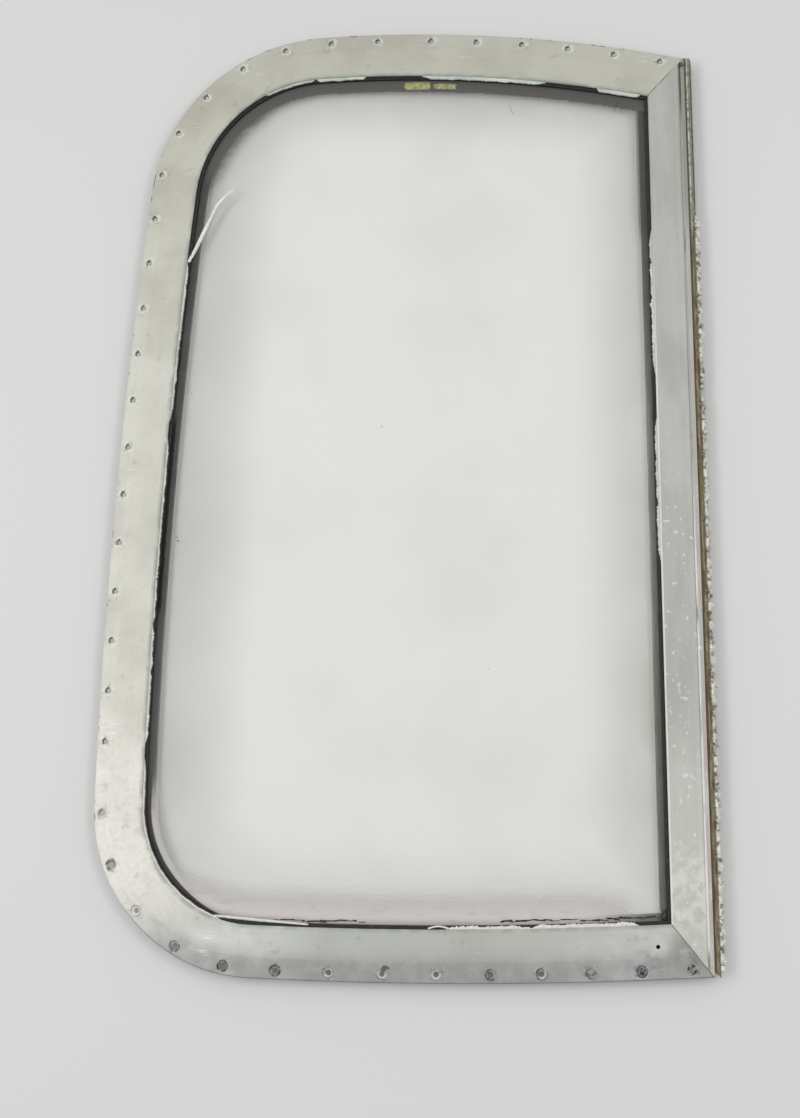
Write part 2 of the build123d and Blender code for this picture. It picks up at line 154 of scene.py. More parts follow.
@dataclass(frozen=True)
class Outline:
    """Outline of the window in millimetres: three long arcs and two corner bends.

    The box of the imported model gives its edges, so the pieces follow the frame. Each row of
    holes has its first place, its pitch and its count, and one with a place below 0 runs
    back from the far end of the outline.
    """

    right: float
    left: float
    top: float
    bottom: float
    top_radius: float = 1037.0
    top_crown: float = 281.0
    side_radius: float = 5150.0
    side_crown: float = 125.0
    bottom_radius: float = 3260.0
    bottom_crown: float = 242.0
    upper_bend: float = 140.0
    lower_bend: float = 123.0
    face_width: float = 37.0
    flange_width: float = 15.0
    hole_inset: float = 6.2
    rows: tuple[tuple[float, float, int], ...] = (
        (24.6, 36.7, 6),
        (251.5, 38.1, 19),
        (-160.9, -38.6, 10),
        (-21.3, -34.6, 4),
    )

    @cached_property
    def wheels(self) -> tuple[Wheel, ...]:
        """The circles of the top, upper bend, side, lower bend and bottom.

        Returns:
            The five circles, from the top round to the bottom.
        """
        below = Vector((self.right - self.top_crown, self.top - self.top_radius))
        aside = Vector((self.left + self.side_radius, self.bottom + self.side_crown))
        above = Vector((self.right - self.bottom_crown, self.bottom + self.bottom_radius))
        top, side = Wheel(below, self.top_radius), Wheel(aside, self.side_radius)
        bottom = Wheel(above, self.bottom_radius)
        upper = top.bend(side, self.upper_bend, Vector((self.left, self.top)))
        lower = side.bend(bottom, self.lower_bend, Vector((self.left, self.bottom)))
        return top, upper, side, lower, bottom

    def top_height(self, inset: float, x: float) -> float:
        """Height of the top arc, set in, at a point of the X axis."""
        return self.wheels[0].height(inset, x, 1)

    def bottom_height(self, inset: float, x: float) -> float:
        """Height of the bottom arc, set in, at a point of the X axis."""
        return self.wheels[-1].height(inset, x, -1)

    def lip_height(self, x: float) -> float:
        """Height of the bottom lip at a point of the X axis."""
        return self.bottom_height(self.face_width, x)

    def arcs(self, inset: float, right: float) -> list[Arc]:
        """The five arcs of the outline.

        Args:
            inset: how far inside the outer edge they run.
            right: where the top and bottom arcs end.

        Returns:
            The arcs from the right end of the top round to that of the bottom.
        """
        top, upper, side, lower, bottom = (wheel.centre for wheel in self.wheels)
        turns = [
            bearing(top, Vector((right, self.top_height(inset, right)))),
            bearing(top, upper),
            bearing(side, upper),
            bearing(side, lower),
            bearing(bottom, lower),
            bearing(bottom, Vector((right, self.bottom_height(inset, right)))),
        ]
        return [
            Arc(wheel.centre, wheel.radius - inset, start, end)
            for wheel, start, end in zip(self.wheels, turns, turns[1:])
        ]

    def length(self, inset: float) -> float:
        """Length of the outline, set in, from the right edge round to the right edge."""
        return sum(arc.length for arc in self.arcs(inset, self.right))

    def at(self, inset: float, distance: float) -> tuple[Vector, float]:
        """Find a place on the outline.

        Args:
            inset: how far inside the outer edge it lies.
            distance: how far along from the right edge at the top.

        Returns:
            The point and the direction of travel there.
        """
        *arcs, last = self.arcs(inset, self.right)
        for arc in arcs:
            if distance <= arc.length:
                return arc.at(distance)
            distance -= arc.length
        return last.at(distance)

    def holes(self) -> list[Vector]:
        """Centres of all the screw holes, row by row.

        Returns:
            The centres.
        """
        line = self.length(self.hole_inset)
        return [
            self.at(self.hole_inset, (first if first > 0 else line + first) + pitch * i)[0]
            for first, pitch, count in self.rows
            for i in range(count)
        ]


@dataclass(frozen=True)
class Levels:
    """Heights above the floor in millimetres, as the sections of the frame have them."""

    face: float = 12.6
    lip: float = 10.4
    glass_top: float = 8.2
    flange_drop: float = 1.8


@dataclass(frozen=True)
class JambPlaces:
    """Places across the straight jamb in millimetres."""

    outer: float
    width: float = 28.4

    @property
    def lip(self) -> float:
        """Edge of the lip over the glass."""
        return self.outer - self.width


def read_outline() -> Outline:
    """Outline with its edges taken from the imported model's box."""
    low, high = (corner / MM for corner in cad_box)
    return Outline(right=high.x, left=low.x, top=high.y, bottom=low.y)


OUTLINE = read_outline()
LEVELS = Levels()
JAMB = JambPlaces(outer=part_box("straight_jamb")[1].x / MM)

COLOUR_INPUTS = ("Base Color", "Roughness")


class Node(Enum):
    """Kinds of shader node: type, inputs in order, wanted output, and settings."""

    OBJECT_PLACE = ("ShaderNodeTexCoord", (), "Object")
    DIRECTION = ("ShaderNodeTexCoord", (), "Generated")
    FACING = ("ShaderNodeNewGeometry", (), "True Normal")
    SHADOW_RAY = ("ShaderNodeLightPath", (), "Is Shadow Ray")
    AXES = ("ShaderNodeSeparateXYZ", (0,), None)
    MOVED = ("ShaderNodeMapping", ("Vector", "Scale", "Location", "Rotation"))
    CLOUDS = ("ShaderNodeTexNoise", ("Vector", "Scale", "Detail"))
    LINES = ("ShaderNodeTexNoise", ("W", "Scale", "Detail"), 0, "noise_dimensions", "1D")
    WAVES_UP = ("ShaderNodeTexWave", ("Vector", "Scale", "Distortion"), 0, "bands_direction", "Y")
    WAVES_OUT = ("ShaderNodeTexWave", ("Vector", "Scale", "Distortion"), 0, "bands_direction", "Z")
    RESIZED = ("ShaderNodeVectorMath", (0, "Scale"), 0, "operation", "SCALE")
    FLATTENED = ("ShaderNodeVectorMath", (0, 1), 0, "operation", "MULTIPLY")
    OFFSET = ("ShaderNodeVectorMath", (0, 1), 0, "operation", "SUBTRACT")
    DISTANCE = ("ShaderNodeVectorMath", (0, 1), "Value", "operation", "DISTANCE")
    DOT = ("ShaderNodeVectorMath", (0, 1), "Value", "operation", "DOT_PRODUCT")
    PLUS = ("ShaderNodeMath", (0, 1), 0, "operation", "ADD")
    MINUS = ("ShaderNodeMath", (0, 1), 0, "operation", "SUBTRACT")
    TIMES = ("ShaderNodeMath", (0, 1), 0, "operation", "MULTIPLY")
    TIMES_PLUS = ("ShaderNodeMath", (0, 1, 2), 0, "operation", "MULTIPLY_ADD")
    LARGER = ("ShaderNodeMath", (0, 1), 0, "operation", "MAXIMUM")
    SMALLER = ("ShaderNodeMath", (0, 1), 0, "operation", "MINIMUM")
    ABOVE = ("ShaderNodeMath", (0, 1), 0, "operation", "GREATER_THAN")
    UNSIGNED = ("ShaderNodeMath", (0,), 0, "operation", "ABSOLUTE")
    RAMP = ("ShaderNodeMapRange", (0, 1, 2, 3, 4), 0, "interpolation_type", "SMOOTHSTEP")
    BETWEEN = ("ShaderNodeMix", (2, 3, 0), 0, "data_type", "FLOAT")
    BLEND = ("ShaderNodeMix", (6, 7, 0), 2, "data_type", "RGBA")
    BUMP = ("ShaderNodeBump", ("Height", "Distance", "Strength"))
    MATT = ("ShaderNodeBsdfPrincipled", (*COLOUR_INPUTS, "Normal", "Metallic"))
    GLASS = ("ShaderNodeBsdfPrincipled", (*COLOUR_INPUTS, "IOR", "Transmission Weight"))
    FIBRE = ("ShaderNodeBsdfPrincipled", (*COLOUR_INPUTS, "Sheen Weight"))
    PAPER = ("ShaderNodeBsdfPrincipled", (*COLOUR_INPUTS, "Specular IOR Level"))
    CLEAR = ("ShaderNodeBsdfTransparent", (0,))
    EITHER = ("ShaderNodeMixShader", (1, 2, 0))
    SURFACE = ("ShaderNodeOutputMaterial", ("Surface",), None)

    def __init__(
        self,
        kind: str,
        inputs: tuple[int | str, ...],
        output: int | str | None = 0,
        setting: str | None = None,
        choice: str | None = None,
    ) -> None:
        """Keep what tells one kind from another.

        Args:
            kind: the node's type.
            inputs: its inputs, in the order that their values are given.
            output: the output that is wanted of it, or None for the node itself.
            setting: the attribute that is set on it.
            choice: what that attribute is set to.
        """
        self.kind = kind
        self.inputs = inputs
        self.output = output
        self.setting = setting
        self.choice = choice


class Graph:
    """A node tree that nodes are added to."""

    def __init__(self, tree: bpy.types.NodeTree) -> None:
        """Start with the tree that the nodes go into."""
        self.tree = tree

    def add(self, node: Node, *values: Value) -> Socket | bpy.types.Node:
        """Add a node with its settings and links.

        Args:
            node: which kind of node.
            *values: for each of its inputs, a value or the output that it takes.

        Returns:
            The wanted output, or the node.
        """
        made = self.tree.nodes.new(node.kind)
        if node.setting:
            setattr(made, node.setting, node.choice)
        for key, value in zip(node.inputs, values):
            if isinstance(value, Socket):
                self.tree.links.new(value, made.inputs[key])
            else:
                made.inputs[key].default_value = value
        return made if node.output is None else made.outputs[node.output]

    def fold(self, node: Node, *values: Value) -> Value:
        """Join values one after another by nodes of one kind.

        Args:
            node: which kind of node.
            *values: the values, of which the first is an output.

        Returns:
            The last node's output, or the value where there is only one.
        """
        return reduce(lambda joined, value: self.add(node, joined, value), values)


class Shade(Graph):
    """The nodes of one material, with the place on the object in millimetres."""

    def __init__(self, name: str) -> None:
        """Start a material of that name.

        Args:
            name: the material's name.
        """
        self.material = bpy.data.materials.new(name)
        self.material.use_nodes = True
        super().__init__(self.material.node_tree)
        self.tree.nodes.clear()
        self.place = self.add(Node.RESIZED, self.add(Node.OBJECT_PLACE), 1 / MM)
        self.x, self.y, self.z = self.add(Node.AXES, self.place).outputs

    def surface(self, shader: Socket) -> bpy.types.Material:
        """Give the material its finished shader, and return the material."""
        self.add(Node.SURFACE, shader)
        return self.material

    def coat(self, base: str, *coats: tuple[str | Socket | float, ...]) -> Socket:
        """Lay colours over one another.

        Args:
            base: the lowest colour.
            *coats: each colour, and the shares whose product tells how much of it shows.

        Returns:
            The colour's output.
        """
        under = linear(base)
        for colour, *shares in coats:
            over = linear(colour) if isinstance(colour, str) else colour
            under = self.add(Node.BLEND, under, over, self.fold(Node.TIMES, *shares))
        return under

    def grain(
        self, size: float, detail: float = 3.0, stretch: tuple[float, ...] = EVEN, seed: float = 0
    ) -> Socket:
        """Cloudy pattern of a real size.

        Args:
            size: width of its clouds in millimetres.
            detail: how many finer layers it has.
            stretch: how many times longer it is along each axis.
            seed: shifts it, so that two patterns differ.

        Returns:
            The pattern's output, around 0.5.
        """
        scale = tuple(1 / (size * length) for length in stretch)
        return self.add(Node.CLOUDS, self.add(Node.MOVED, self.place, scale, (seed,) * 3), 1.0, detail)

    def patches(
        self,
        size: float,
        low: float,
        high: float,
        least: float = 0.0,
        most: float = 1.0,
        **kind: float | tuple[float, ...],
    ) -> Socket:
        """Share that comes and goes in clouds.

        Args:
            size: width of the clouds in millimetres.
            low: the pattern's value that gives the least.
            high: the pattern's value that gives the most.
            least: the least share.
            most: the most.
            **kind: detail, stretch and seed of the pattern.

        Returns:
            The share's output.
        """
        return self.add(Node.RAMP, self.grain(size, **kind), low, high, least, most)

    def spot(self, place: tuple[float, ...], outer: float, inner: float, most: float = 1.0) -> Socket:
        """Share that rises towards a point.

        Args:
            place: the point in millimetres.
            outer: the distance where it begins.
            inner: the distance where it is full.
            most: the full share.

        Returns:
            The share's output.
        """
        reach = self.add(Node.DISTANCE, self.place, place)
        return self.add(Node.RAMP, reach, outer, inner, 0.0, most)

    def span(self, value: Socket, begin: float, full: float, fade: float, end: float) -> Socket:
        """Share that is full on a stretch of a value.

        Args:
            value: the output that is read.
            begin: where the share begins.
            full: where it becomes full.
            fade: where it starts to fade.
            end: where it ends.

        Returns:
            The share's output.
        """
        rise = self.add(Node.RAMP, value, begin, full)
        return self.add(Node.TIMES, rise, self.add(Node.RAMP, value, end, fade))

    def beside(
        self, value: Socket, middle: float, none: float, full: float, most: float = 1.0
    ) -> Socket:
        """Share that changes alike to both sides of the middle of a value.

        Args:
            value: the output that is read.
            middle: its middle.
            none: how far from the middle the share is 0.
            full: how far from the middle it is full.
            most: the full share.

        Returns:
            The share's output.
        """
        off = self.add(Node.UNSIGNED, self.add(Node.MINUS, value, middle))
        return self.add(Node.RAMP, off, none, full, 0.0, most)

    @cached_property
    def plan(self) -> Socket:
        """The place with its height left out."""
        return self.add(Node.FLATTENED, self.place, (1, 1, 0))

    def inset(self) -> Socket:
        """Distance in from the bent frame's outer edge, in millimetres.

        Returns:
            The distance's output, read from the long arcs, and from the bends in their wedges.
        """
        from_arc = []
        for wheel in OUTLINE.wheels:
            reach = self.add(Node.DISTANCE, self.plan, wheel.centre.to_3d())
            from_arc.append(self.add(Node.MINUS, wheel.radius, reach))
        inset = self.fold(Node.SMALLER, *from_arc[::2])
        for i in (1, 3):
            before, bend, after = (wheel.centre for wheel in OUTLINE.wheels[i - 1:i + 2])
            first, last = (bend - before).normalized(), (bend - after).normalized()
            from_centre = self.add(Node.OFFSET, self.plan, bend.to_3d())
            inside = [
                self.add(Node.ABOVE, self.add(Node.DOT, from_centre, across), 0.0)
                for across in ((-first.y, first.x, 0), (last.y, -last.x, 0))
            ]
            wedge = self.fold(Node.TIMES, *inside)
            inset = self.add(Node.BETWEEN, inset, from_arc[i], wedge)
        return inset

    def nearest(self, places: Iterable[Vector]) -> Socket:
        """Distance in plan to the nearest of some places, in millimetres."""
        reaches = [self.add(Node.DISTANCE, self.plan, place.to_3d()) for place in places]
        return self.fold(Node.SMALLER, *reaches)

    def steepness(self) -> Socket:
        """How far the surface is from level: 0 on a flat top and 1 on an upright wall."""
        return self.add(Node.MINUS, 1.0, self.add(Node.DOT, self.add(Node.FACING), UPRIGHT))


@dataclass(frozen=True)
class FrameAluminium:
    """Mill-finish aluminium extrusion, bent and long out in the weather.

    The oxide takes the mirror off it. What stays is a soft broad gleam, warm grey-green
    clouds, faint lines along the extrusion from its die, scratches down to bright metal,
    and dark dirt and painted shade in and round the screw holes. Painted highlights
    lighten the left side, the worn bottom-left corner and the countersink walls, and
    painted shade darkens the top and the bottom flange.
    """

    clean: str = "#CCCBBF"
    oxide: str = "#BFBDB1"
    cool: str = "#B4B7B3"
    chalky: str = "#D3D5D0"
    flange_shade: str = "#999B98"
    bare: str = "#EDEAE3"
    lit_pale: str = "#DAD9D0"
    darker_grey: str = "#A9A89C"
    die_line: str = "#9D9B8F"
    green: str = "#9DA79A"
    stain: str = "#8B887B"
    mitre_smear: str = "#74756D"
    plug_smear: str = "#77797A"
    scratch: str = "#EDEBE4"
    hole_rub_and_highlight: str = "#EFEEE8"
    dirt: str = "#3E3D37"
    # the worn corner's bare colour is real wear with a painted sheen over it
    sheen_and_wear_corner: tuple[float, ...] = (-204, -262, 10)
    mitre: tuple[float, ...] = (204, -345, 11)
    plug: tuple[float, ...] = (176, -352, 11)
    scuffs: tuple[tuple[float, float], ...] = ((-138, -346), (-219, -190))
    metallic: float = 0.42
    roughness: float = 0.6

    def make(self) -> bpy.types.Material:
        """Build the material.

        Returns:
            The material.
        """
        shade = Shade("frame_aluminium")
        add, fold, patches, x, y = shade.add, shade.fold, shade.patches, shade.x, shade.y
        inset = shade.inset()
        reach = shade.nearest(OUTLINE.holes())
        lines = add(Node.LINES, inset, 1.1, 2.0)
        clouds = patches(38, 0.34, 0.68, detail=4)
        mottle = shade.grain(5, 4, seed=7)
        low = add(Node.RAMP, y, -285, -345)
        steep = add(Node.RAMP, shade.steepness(), 0.08, 0.2)
        inside = add(Node.TIMES, steep, add(Node.RAMP, reach, 5.2, 4.4))
        rubbed = fold(
            Node.TIMES,
            shade.span(reach, 2.9, 3.6, 4.4, 5.6),
            patches(6, 0.4, 0.6, 0.0, 0.35, detail=2, seed=29),
            add(Node.RAMP, y, -250, -200),
        )
        # painted highlight: the countersink walls are made pale
        wall = add(Node.TIMES, inside, add(Node.RAMP, y, -310, -250, 0.45, 0.75))
        grime_and_shade = self.hole_grime_and_shade(shade, reach, inside)
        colour = shade.coat(
            self.clean,
            (self.oxide, clouds),
            (self.cool, low, 0.75),
            (
                self.chalky,
                low,
                shade.beside(x, 25.0, 70, 150),
                patches(24, 0.35, 0.6, 0.4, 1.0, detail=3, seed=41),
            ),
            # painted shade: the bottom flange is darkened as if turned away from the light, in cloudy
            # patches
            (
                self.flange_shade,
                add(Node.RAMP, inset, 25, 9),
                add(Node.RAMP, y, -315, -345, 0.0, 0.8),
                patches(15, 0.32, 0.6, 0.55, 1.0, detail=4, seed=44),
            ),
            # painted highlight: the bare colour at the bottom-left corner is wear and also stands in
            # for the sheen of light there
            (
                self.bare,
                shade.spot(self.sheen_and_wear_corner, 125, 30),
                add(Node.RAMP, mottle, 0.3, 0.6, 0.6, 1.0),
                0.8,
            ),
            # painted highlight: the left side is made paler where the light falls on it
            (
                self.lit_pale,
                shade.span(y, -260, -150, 60, 230),
                add(Node.RAMP, x, -150, -180),
                0.45,
            ),
            # painted shade: the top of the frame is darkened
            (self.darker_grey, add(Node.RAMP, y, 250, 330, 0.0, 0.25)),
            (self.oxide, add(Node.RAMP, mottle, 0.52, 0.75, 0.0, 0.35)),
            (self.die_line, add(Node.RAMP, lines, 0.55, 0.75, 0.0, 0.2)),
            (self.green, add(Node.RAMP, inset, 33.5, 36.4), patches(12, 0.3, 0.6), 0.7),
            (self.stain, patches(9, 0.63, 0.72, detail=5, seed=31), 0.25),
            (self.mitre_smear, shade.spot(self.mitre, 22, 6), patches(8, 0.2, 0.55, seed=51), 0.6),
            (
                self.plug_smear,
                shade.spot(self.plug, 14, 3),
                patches(6, 0.35, 0.7, detail=4, seed=52),
                0.5,
            ),
            (self.scratch, self.scratches(shade), 0.75),
            (self.dirt, self.nicks(shade, inset)),
            # burnished rings round the holes are real wear; the pale countersink walls are a painted
            # highlight
            (self.hole_rub_and_highlight, add(Node.LARGER, rubbed, wall)),
            # dirt, with painted shade in the countersinks
            (self.dirt, grime_and_shade),
        )
        rough = add(Node.TIMES_PLUS, clouds, 0.1, self.roughness)
        rough = add(Node.TIMES_PLUS, grime_and_shade, 0.3, rough)
        soiled_and_shaded = add(Node.LARGER, grime_and_shade, inside)
        metal = add(Node.RAMP, soiled_and_shaded, 0.1, 0.8, self.metallic, 0.0)
        height = add(Node.BLEND, shade.grain(0.9, 2, seed=11), lines, 0.4)
        normal = add(Node.BUMP, height, 0.05 * MM, 0.5)
        return shade.surface(add(Node.MATT, colour, rough, normal, metal))

    def nicks(self, shade: Shade, inset: Socket) -> Socket:
        """Share of the dirt in the nicks of the outer edge, and of the darkening along the bottom edge.

        Args:
            shade: the material's nodes.
            inset: distance in from the outer edge.

        Returns:
            The share's output.
        """
        dents = shade.fold(
            Node.TIMES,
            shade.add(Node.RAMP, inset, 1.2, 0.3),
            shade.patches(9, 0.6, 0.68, seed=3),
            0.75,
        )
        # darker along the bottom edge
        rim = shade.add(Node.RAMP, inset, 1.1, 0.2)
        rim = shade.add(Node.TIMES, rim, shade.add(Node.RAMP, shade.y, -300, -335, 0.0, 0.6))
        return shade.add(Node.LARGER, dents, rim)

    def scratches(self, shade: Shade) -> Socket:
        """Share of the short bright scratches, 16 mm by 0.7 mm, in two directions.

        Args:
            shade: the material's nodes.

        Returns:
            The share's output.
        """
        add = shade.add
        scuffed = add(Node.RAMP, shade.nearest(map(Vector, self.scuffs)), 15, 5)
        found = []
        for turn, seed in ((0.5, 3.0), (-1.1, 17.0)):
            where = (1 / 16, 1 / 0.7, 0.2), (seed, 0, 0), (0, 0, turn)
            marks = add(Node.CLOUDS, add(Node.MOVED, shade.place, *where), 1.0, 1.0)
            marks = add(Node.TIMES_PLUS, scuffed, 0.08, marks)
            spread = add(Node.LARGER, shade.patches(30, 0.62, 0.7, detail=1, seed=seed), scuffed)
            found.append(add(Node.TIMES, add(Node.RAMP, marks, 0.71, 0.77), spread))
        return shade.fold(Node.LARGER, *found)

    def hole_grime_and_shade(self, shade: Shade, reach: Socket, inside: Socket) -> Socket:
        """Share of the dirt and painted shade in the countersinks, and of the dirt smeared round some
        of them.

        Args:
            shade: the material that it belongs to.
            reach: distance from the nearest hole's centre in millimetres.
            inside: share that is 1 on the hole's sloping wall.

        Returns:
            The share's output. The upper holes have a painted shade crescent in them, and the
            lower ones a ring of dirt and painted shade, of which some are filled.
        """
        add, fold, patches = shade.add, shade.fold, shade.patches
        lower = add(Node.RAMP, shade.y, -225, -300)
        facing = add(Node.DOT, add(Node.FACING), (0.9, -0.4, 0))
        # painted shade: a dark crescent on the countersink wall that faces away from the light
        shade_crescent = fold(
            Node.TIMES,
            add(Node.RAMP, facing, 0.0, 0.3),
            add(Node.RAMP, reach, 3.6, 2.8, 0.2, 0.9),
            add(Node.RAMP, lower, 0.0, 1.0, 1.0, 0.0),
            patches(2.2, 0.3, 0.55, 0.6, 1.0, detail=2, seed=19),
        )
        which = patches(30, 0.42, 0.58, detail=0, seed=61)
        # the ring in the lower holes is dirt with painted shade
        ring = fold(
            Node.TIMES,
            shade.span(reach, 2.8, 3.1, 4.1, 4.5),
            lower,
            patches(3, 0.35, 0.6, 0.25, 1.0, detail=2, seed=9),
            add(Node.RAMP, which, 0.0, 1.0, 0.45, 1.0),
        )
        filled = fold(
            Node.TIMES,
            inside,
            lower,
            add(Node.RAMP, which, 0.45, 0.9, 0.0, 0.75),
            patches(2.2, 0.3, 0.5, 0.4, 1.0, detail=2, seed=19),
        )
        smear = fold(
            Node.TIMES,
            add(Node.RAMP, reach, 7.5, 3.4),
            patches(3, 0.52, 0.68, detail=4),
            add(Node.RAMP, lower, 0.0, 1.0, 0.3, 0.6),
        )
        return fold(Node.LARGER, add(Node.TIMES, inside, shade_crescent), ring, filled, smear)


@dataclass(frozen=True)
class JambAluminium:
    """Drawn aluminium extrusion of the straight jamb, less weathered than the bent frame.

    It is a cooler grey with straight lines along its length. White specks of corrosion
    lie on its lower half, and rust from the pile strip has washed along its outer rib.
    """

    clean: str = "#BBBCB7"
    darker_grey: str = "#AFB0A9"
    shaded: str = "#A6A7A1"
    pale: str = "#D0D0C8"
    die_line: str = "#8D8E86"
    fleck: str = "#E6E7E2"
    bloom: str = "#E0DFD6"
    rust: str = "#AFA49C"
    olive: str = "#8E9186"
    groove: str = "#A9A8A2"
    chalk: str = "#FBF9F8"
    groove_dirt: str = "#5E5B50"
    rim: str = "#F1F1EC"
    notch_shade: str = "#34342E"
    low_end: tuple[float, ...] = (208, -305, 12)
    notch: tuple[float, ...] = (219.3, 326.5, 12)
    metallic: float = 0.45
    roughness: float = 0.47

    def make(self) -> bpy.types.Material:
        """Build the material.

        Returns:
            The material.
        """
        shade = Shade("jamb_aluminium")
        add, fold, patches, y = shade.add, shade.fold, shade.patches, shade.y
        across = add(Node.MINUS, JAMB.outer, shade.x)
        lines = add(Node.LINES, across, 1.6, 3.0)
        mottle = shade.grain(4, 4, seed=13)
        wash = fold(
            Node.TIMES,
            add(Node.RAMP, across, 2.9, 2.3),
            patches(5, 0.34, 0.62, stretch=(1, 7, 1), seed=8),
            add(Node.RAMP, y, 140, 60, 0.35, 0.8),
        )
        patina = add(Node.RAMP, across, 6.5, 3.2)
        patina = fold(Node.TIMES, patina, add(Node.RAMP, y, 150, 230), 0.95)
        wash = add(Node.LARGER, wash, patina)
        chalk = add(Node.RAMP, y, 30, -80, 0.35, 1.0)
        chalk = add(Node.TIMES, chalk, patches(5, 0.3, 0.45, stretch=(1, 6, 1), seed=28))
        groove_dirt = (self.groove_dirt, add(Node.RAMP, y, 270, 305))
        filling = shade.coat(self.groove, (self.chalk, chalk), groove_dirt)
        # painted highlight: a bright line along the lip's edge
        lip_highlight = add(Node.RAMP, shade.x, JAMB.lip + 1.6, JAMB.lip + 0.7)
        colour = shade.coat(
            self.clean,
            (self.darker_grey, patches(30, 0.35, 0.65, detail=4, stretch=(0.6, 2.2, 1), seed=5)),
            (self.shaded, add(Node.RAMP, y, 0, -120, 0.0, 0.3)),
            (self.pale, add(Node.RAMP, y, -165, -240, 0.0, 0.6)),
            (self.die_line, add(Node.RAMP, lines, 0.52, 0.78, 0.0, 0.35)),
            (self.darker_grey, add(Node.RAMP, mottle, 0.5, 0.75, 0.0, 0.3)),
            (
                self.fleck,
                patches(2.8, 0.62, 0.72, detail=2, stretch=(1, 1.5, 1), seed=21),
                add(Node.RAMP, y, 60, -60),
                0.6,
            ),
            (self.bloom, shade.spot(self.low_end, 45, 10), patches(7, 0.36, 0.6, seed=2), 0.6),
            (shade.coat(self.rust, (self.olive, add(Node.RAMP, y, 130, 210))), wash),
            (filling, shade.span(across, 2.6, 2.9, 3.7, 4.0), 0.9),
            # painted highlight along the lip's edge
            (self.rim, lip_highlight, add(Node.RAMP, y, 230, 60), 0.75),
            # painted shade: a dark spot stands in for the notch
            (self.notch_shade, shade.spot(self.notch, 3.2, 1.2, 0.85)),
        )
        rough = add(Node.TIMES_PLUS, mottle, 0.14, self.roughness)
        normal = add(Node.BUMP, add(Node.BLEND, mottle, lines, 0.6), 0.06 * MM, 0.5)
        metal = add(Node.RAMP, wash, 0.0, 0.8, self.metallic, 0.1)
        return shade.surface(add(Node.MATT, colour, rough, normal, metal))


@dataclass(frozen=True)
class GlazingRubber:
    """Aged glazing rubber: matt black where it was pressed, chalky grey where dust lies."""

    black: str = "#161715"
    dusty: str = "#595955"
    chalk: str = "#E2DED6"
    roughness: float = 0.72

    def make(self) -> bpy.types.Material:
        """Build the material.

        Returns:
            The material.
        """
        shade = Shade("glazing_rubber")
        add, fold, patches, y = shade.add, shade.fold, shade.patches, shade.y
        behind = add(Node.RAMP, shade.z, 7.0, 5.2)
        front = patches(3, 0.5, 0.75, 0.05, 0.3, seed=4)
        dust = add(Node.BETWEEN, front, patches(14, 0.3, 0.7, 0.35, 0.95, detail=4), behind)
        right = fold(
            Node.TIMES,
            shade.span(shade.x, 150, 170, 189.4, 190.6),
            behind,
            patches(2, 0.3, 0.65, 0.7, 1.0, stretch=(0.6, 9, 1), seed=14),
            add(Node.RAMP, y, 180, 20, 0.3, 1.0),
            add(Node.RAMP, y, -110, -200, 1.0, 0.7),
        )
        left = fold(
            Node.TIMES,
            add(Node.RAMP, shade.x, -150, -170),
            add(Node.RAMP, y, -90, -125),
            behind,
            add(Node.RAMP, y, -260, -215, 0.0, 0.2),
        )
        chalky = add(Node.LARGER, right, left)
        colour = shade.coat(self.black, (self.dusty, dust), (self.chalk, chalky))
        normal = add(Node.BUMP, shade.grain(0.8, seed=6), 0.08 * MM, 0.6)
        return shade.surface(add(Node.MATT, colour, self.roughness, normal))


@dataclass(frozen=True)
class WindowGlass:
    """Clear float glass, a little grey. Lamps go straight through it."""

    tint: str = "#FEFFFE"
    passed: str = "#FBFBFA"
    ior: float = 1.5

    def make(self) -> bpy.types.Material:
        """Build the material.

        Returns:
            The material.
        """
        shade = Shade("window_glass")
        glass = shade.add(Node.GLASS, linear(self.tint), 0.0, self.ior, 1.0)
        clear = shade.add(Node.CLEAR, linear(self.passed))
        return shade.surface(shade.add(Node.EITHER, glass, clear, shade.add(Node.SHADOW_RAY)))


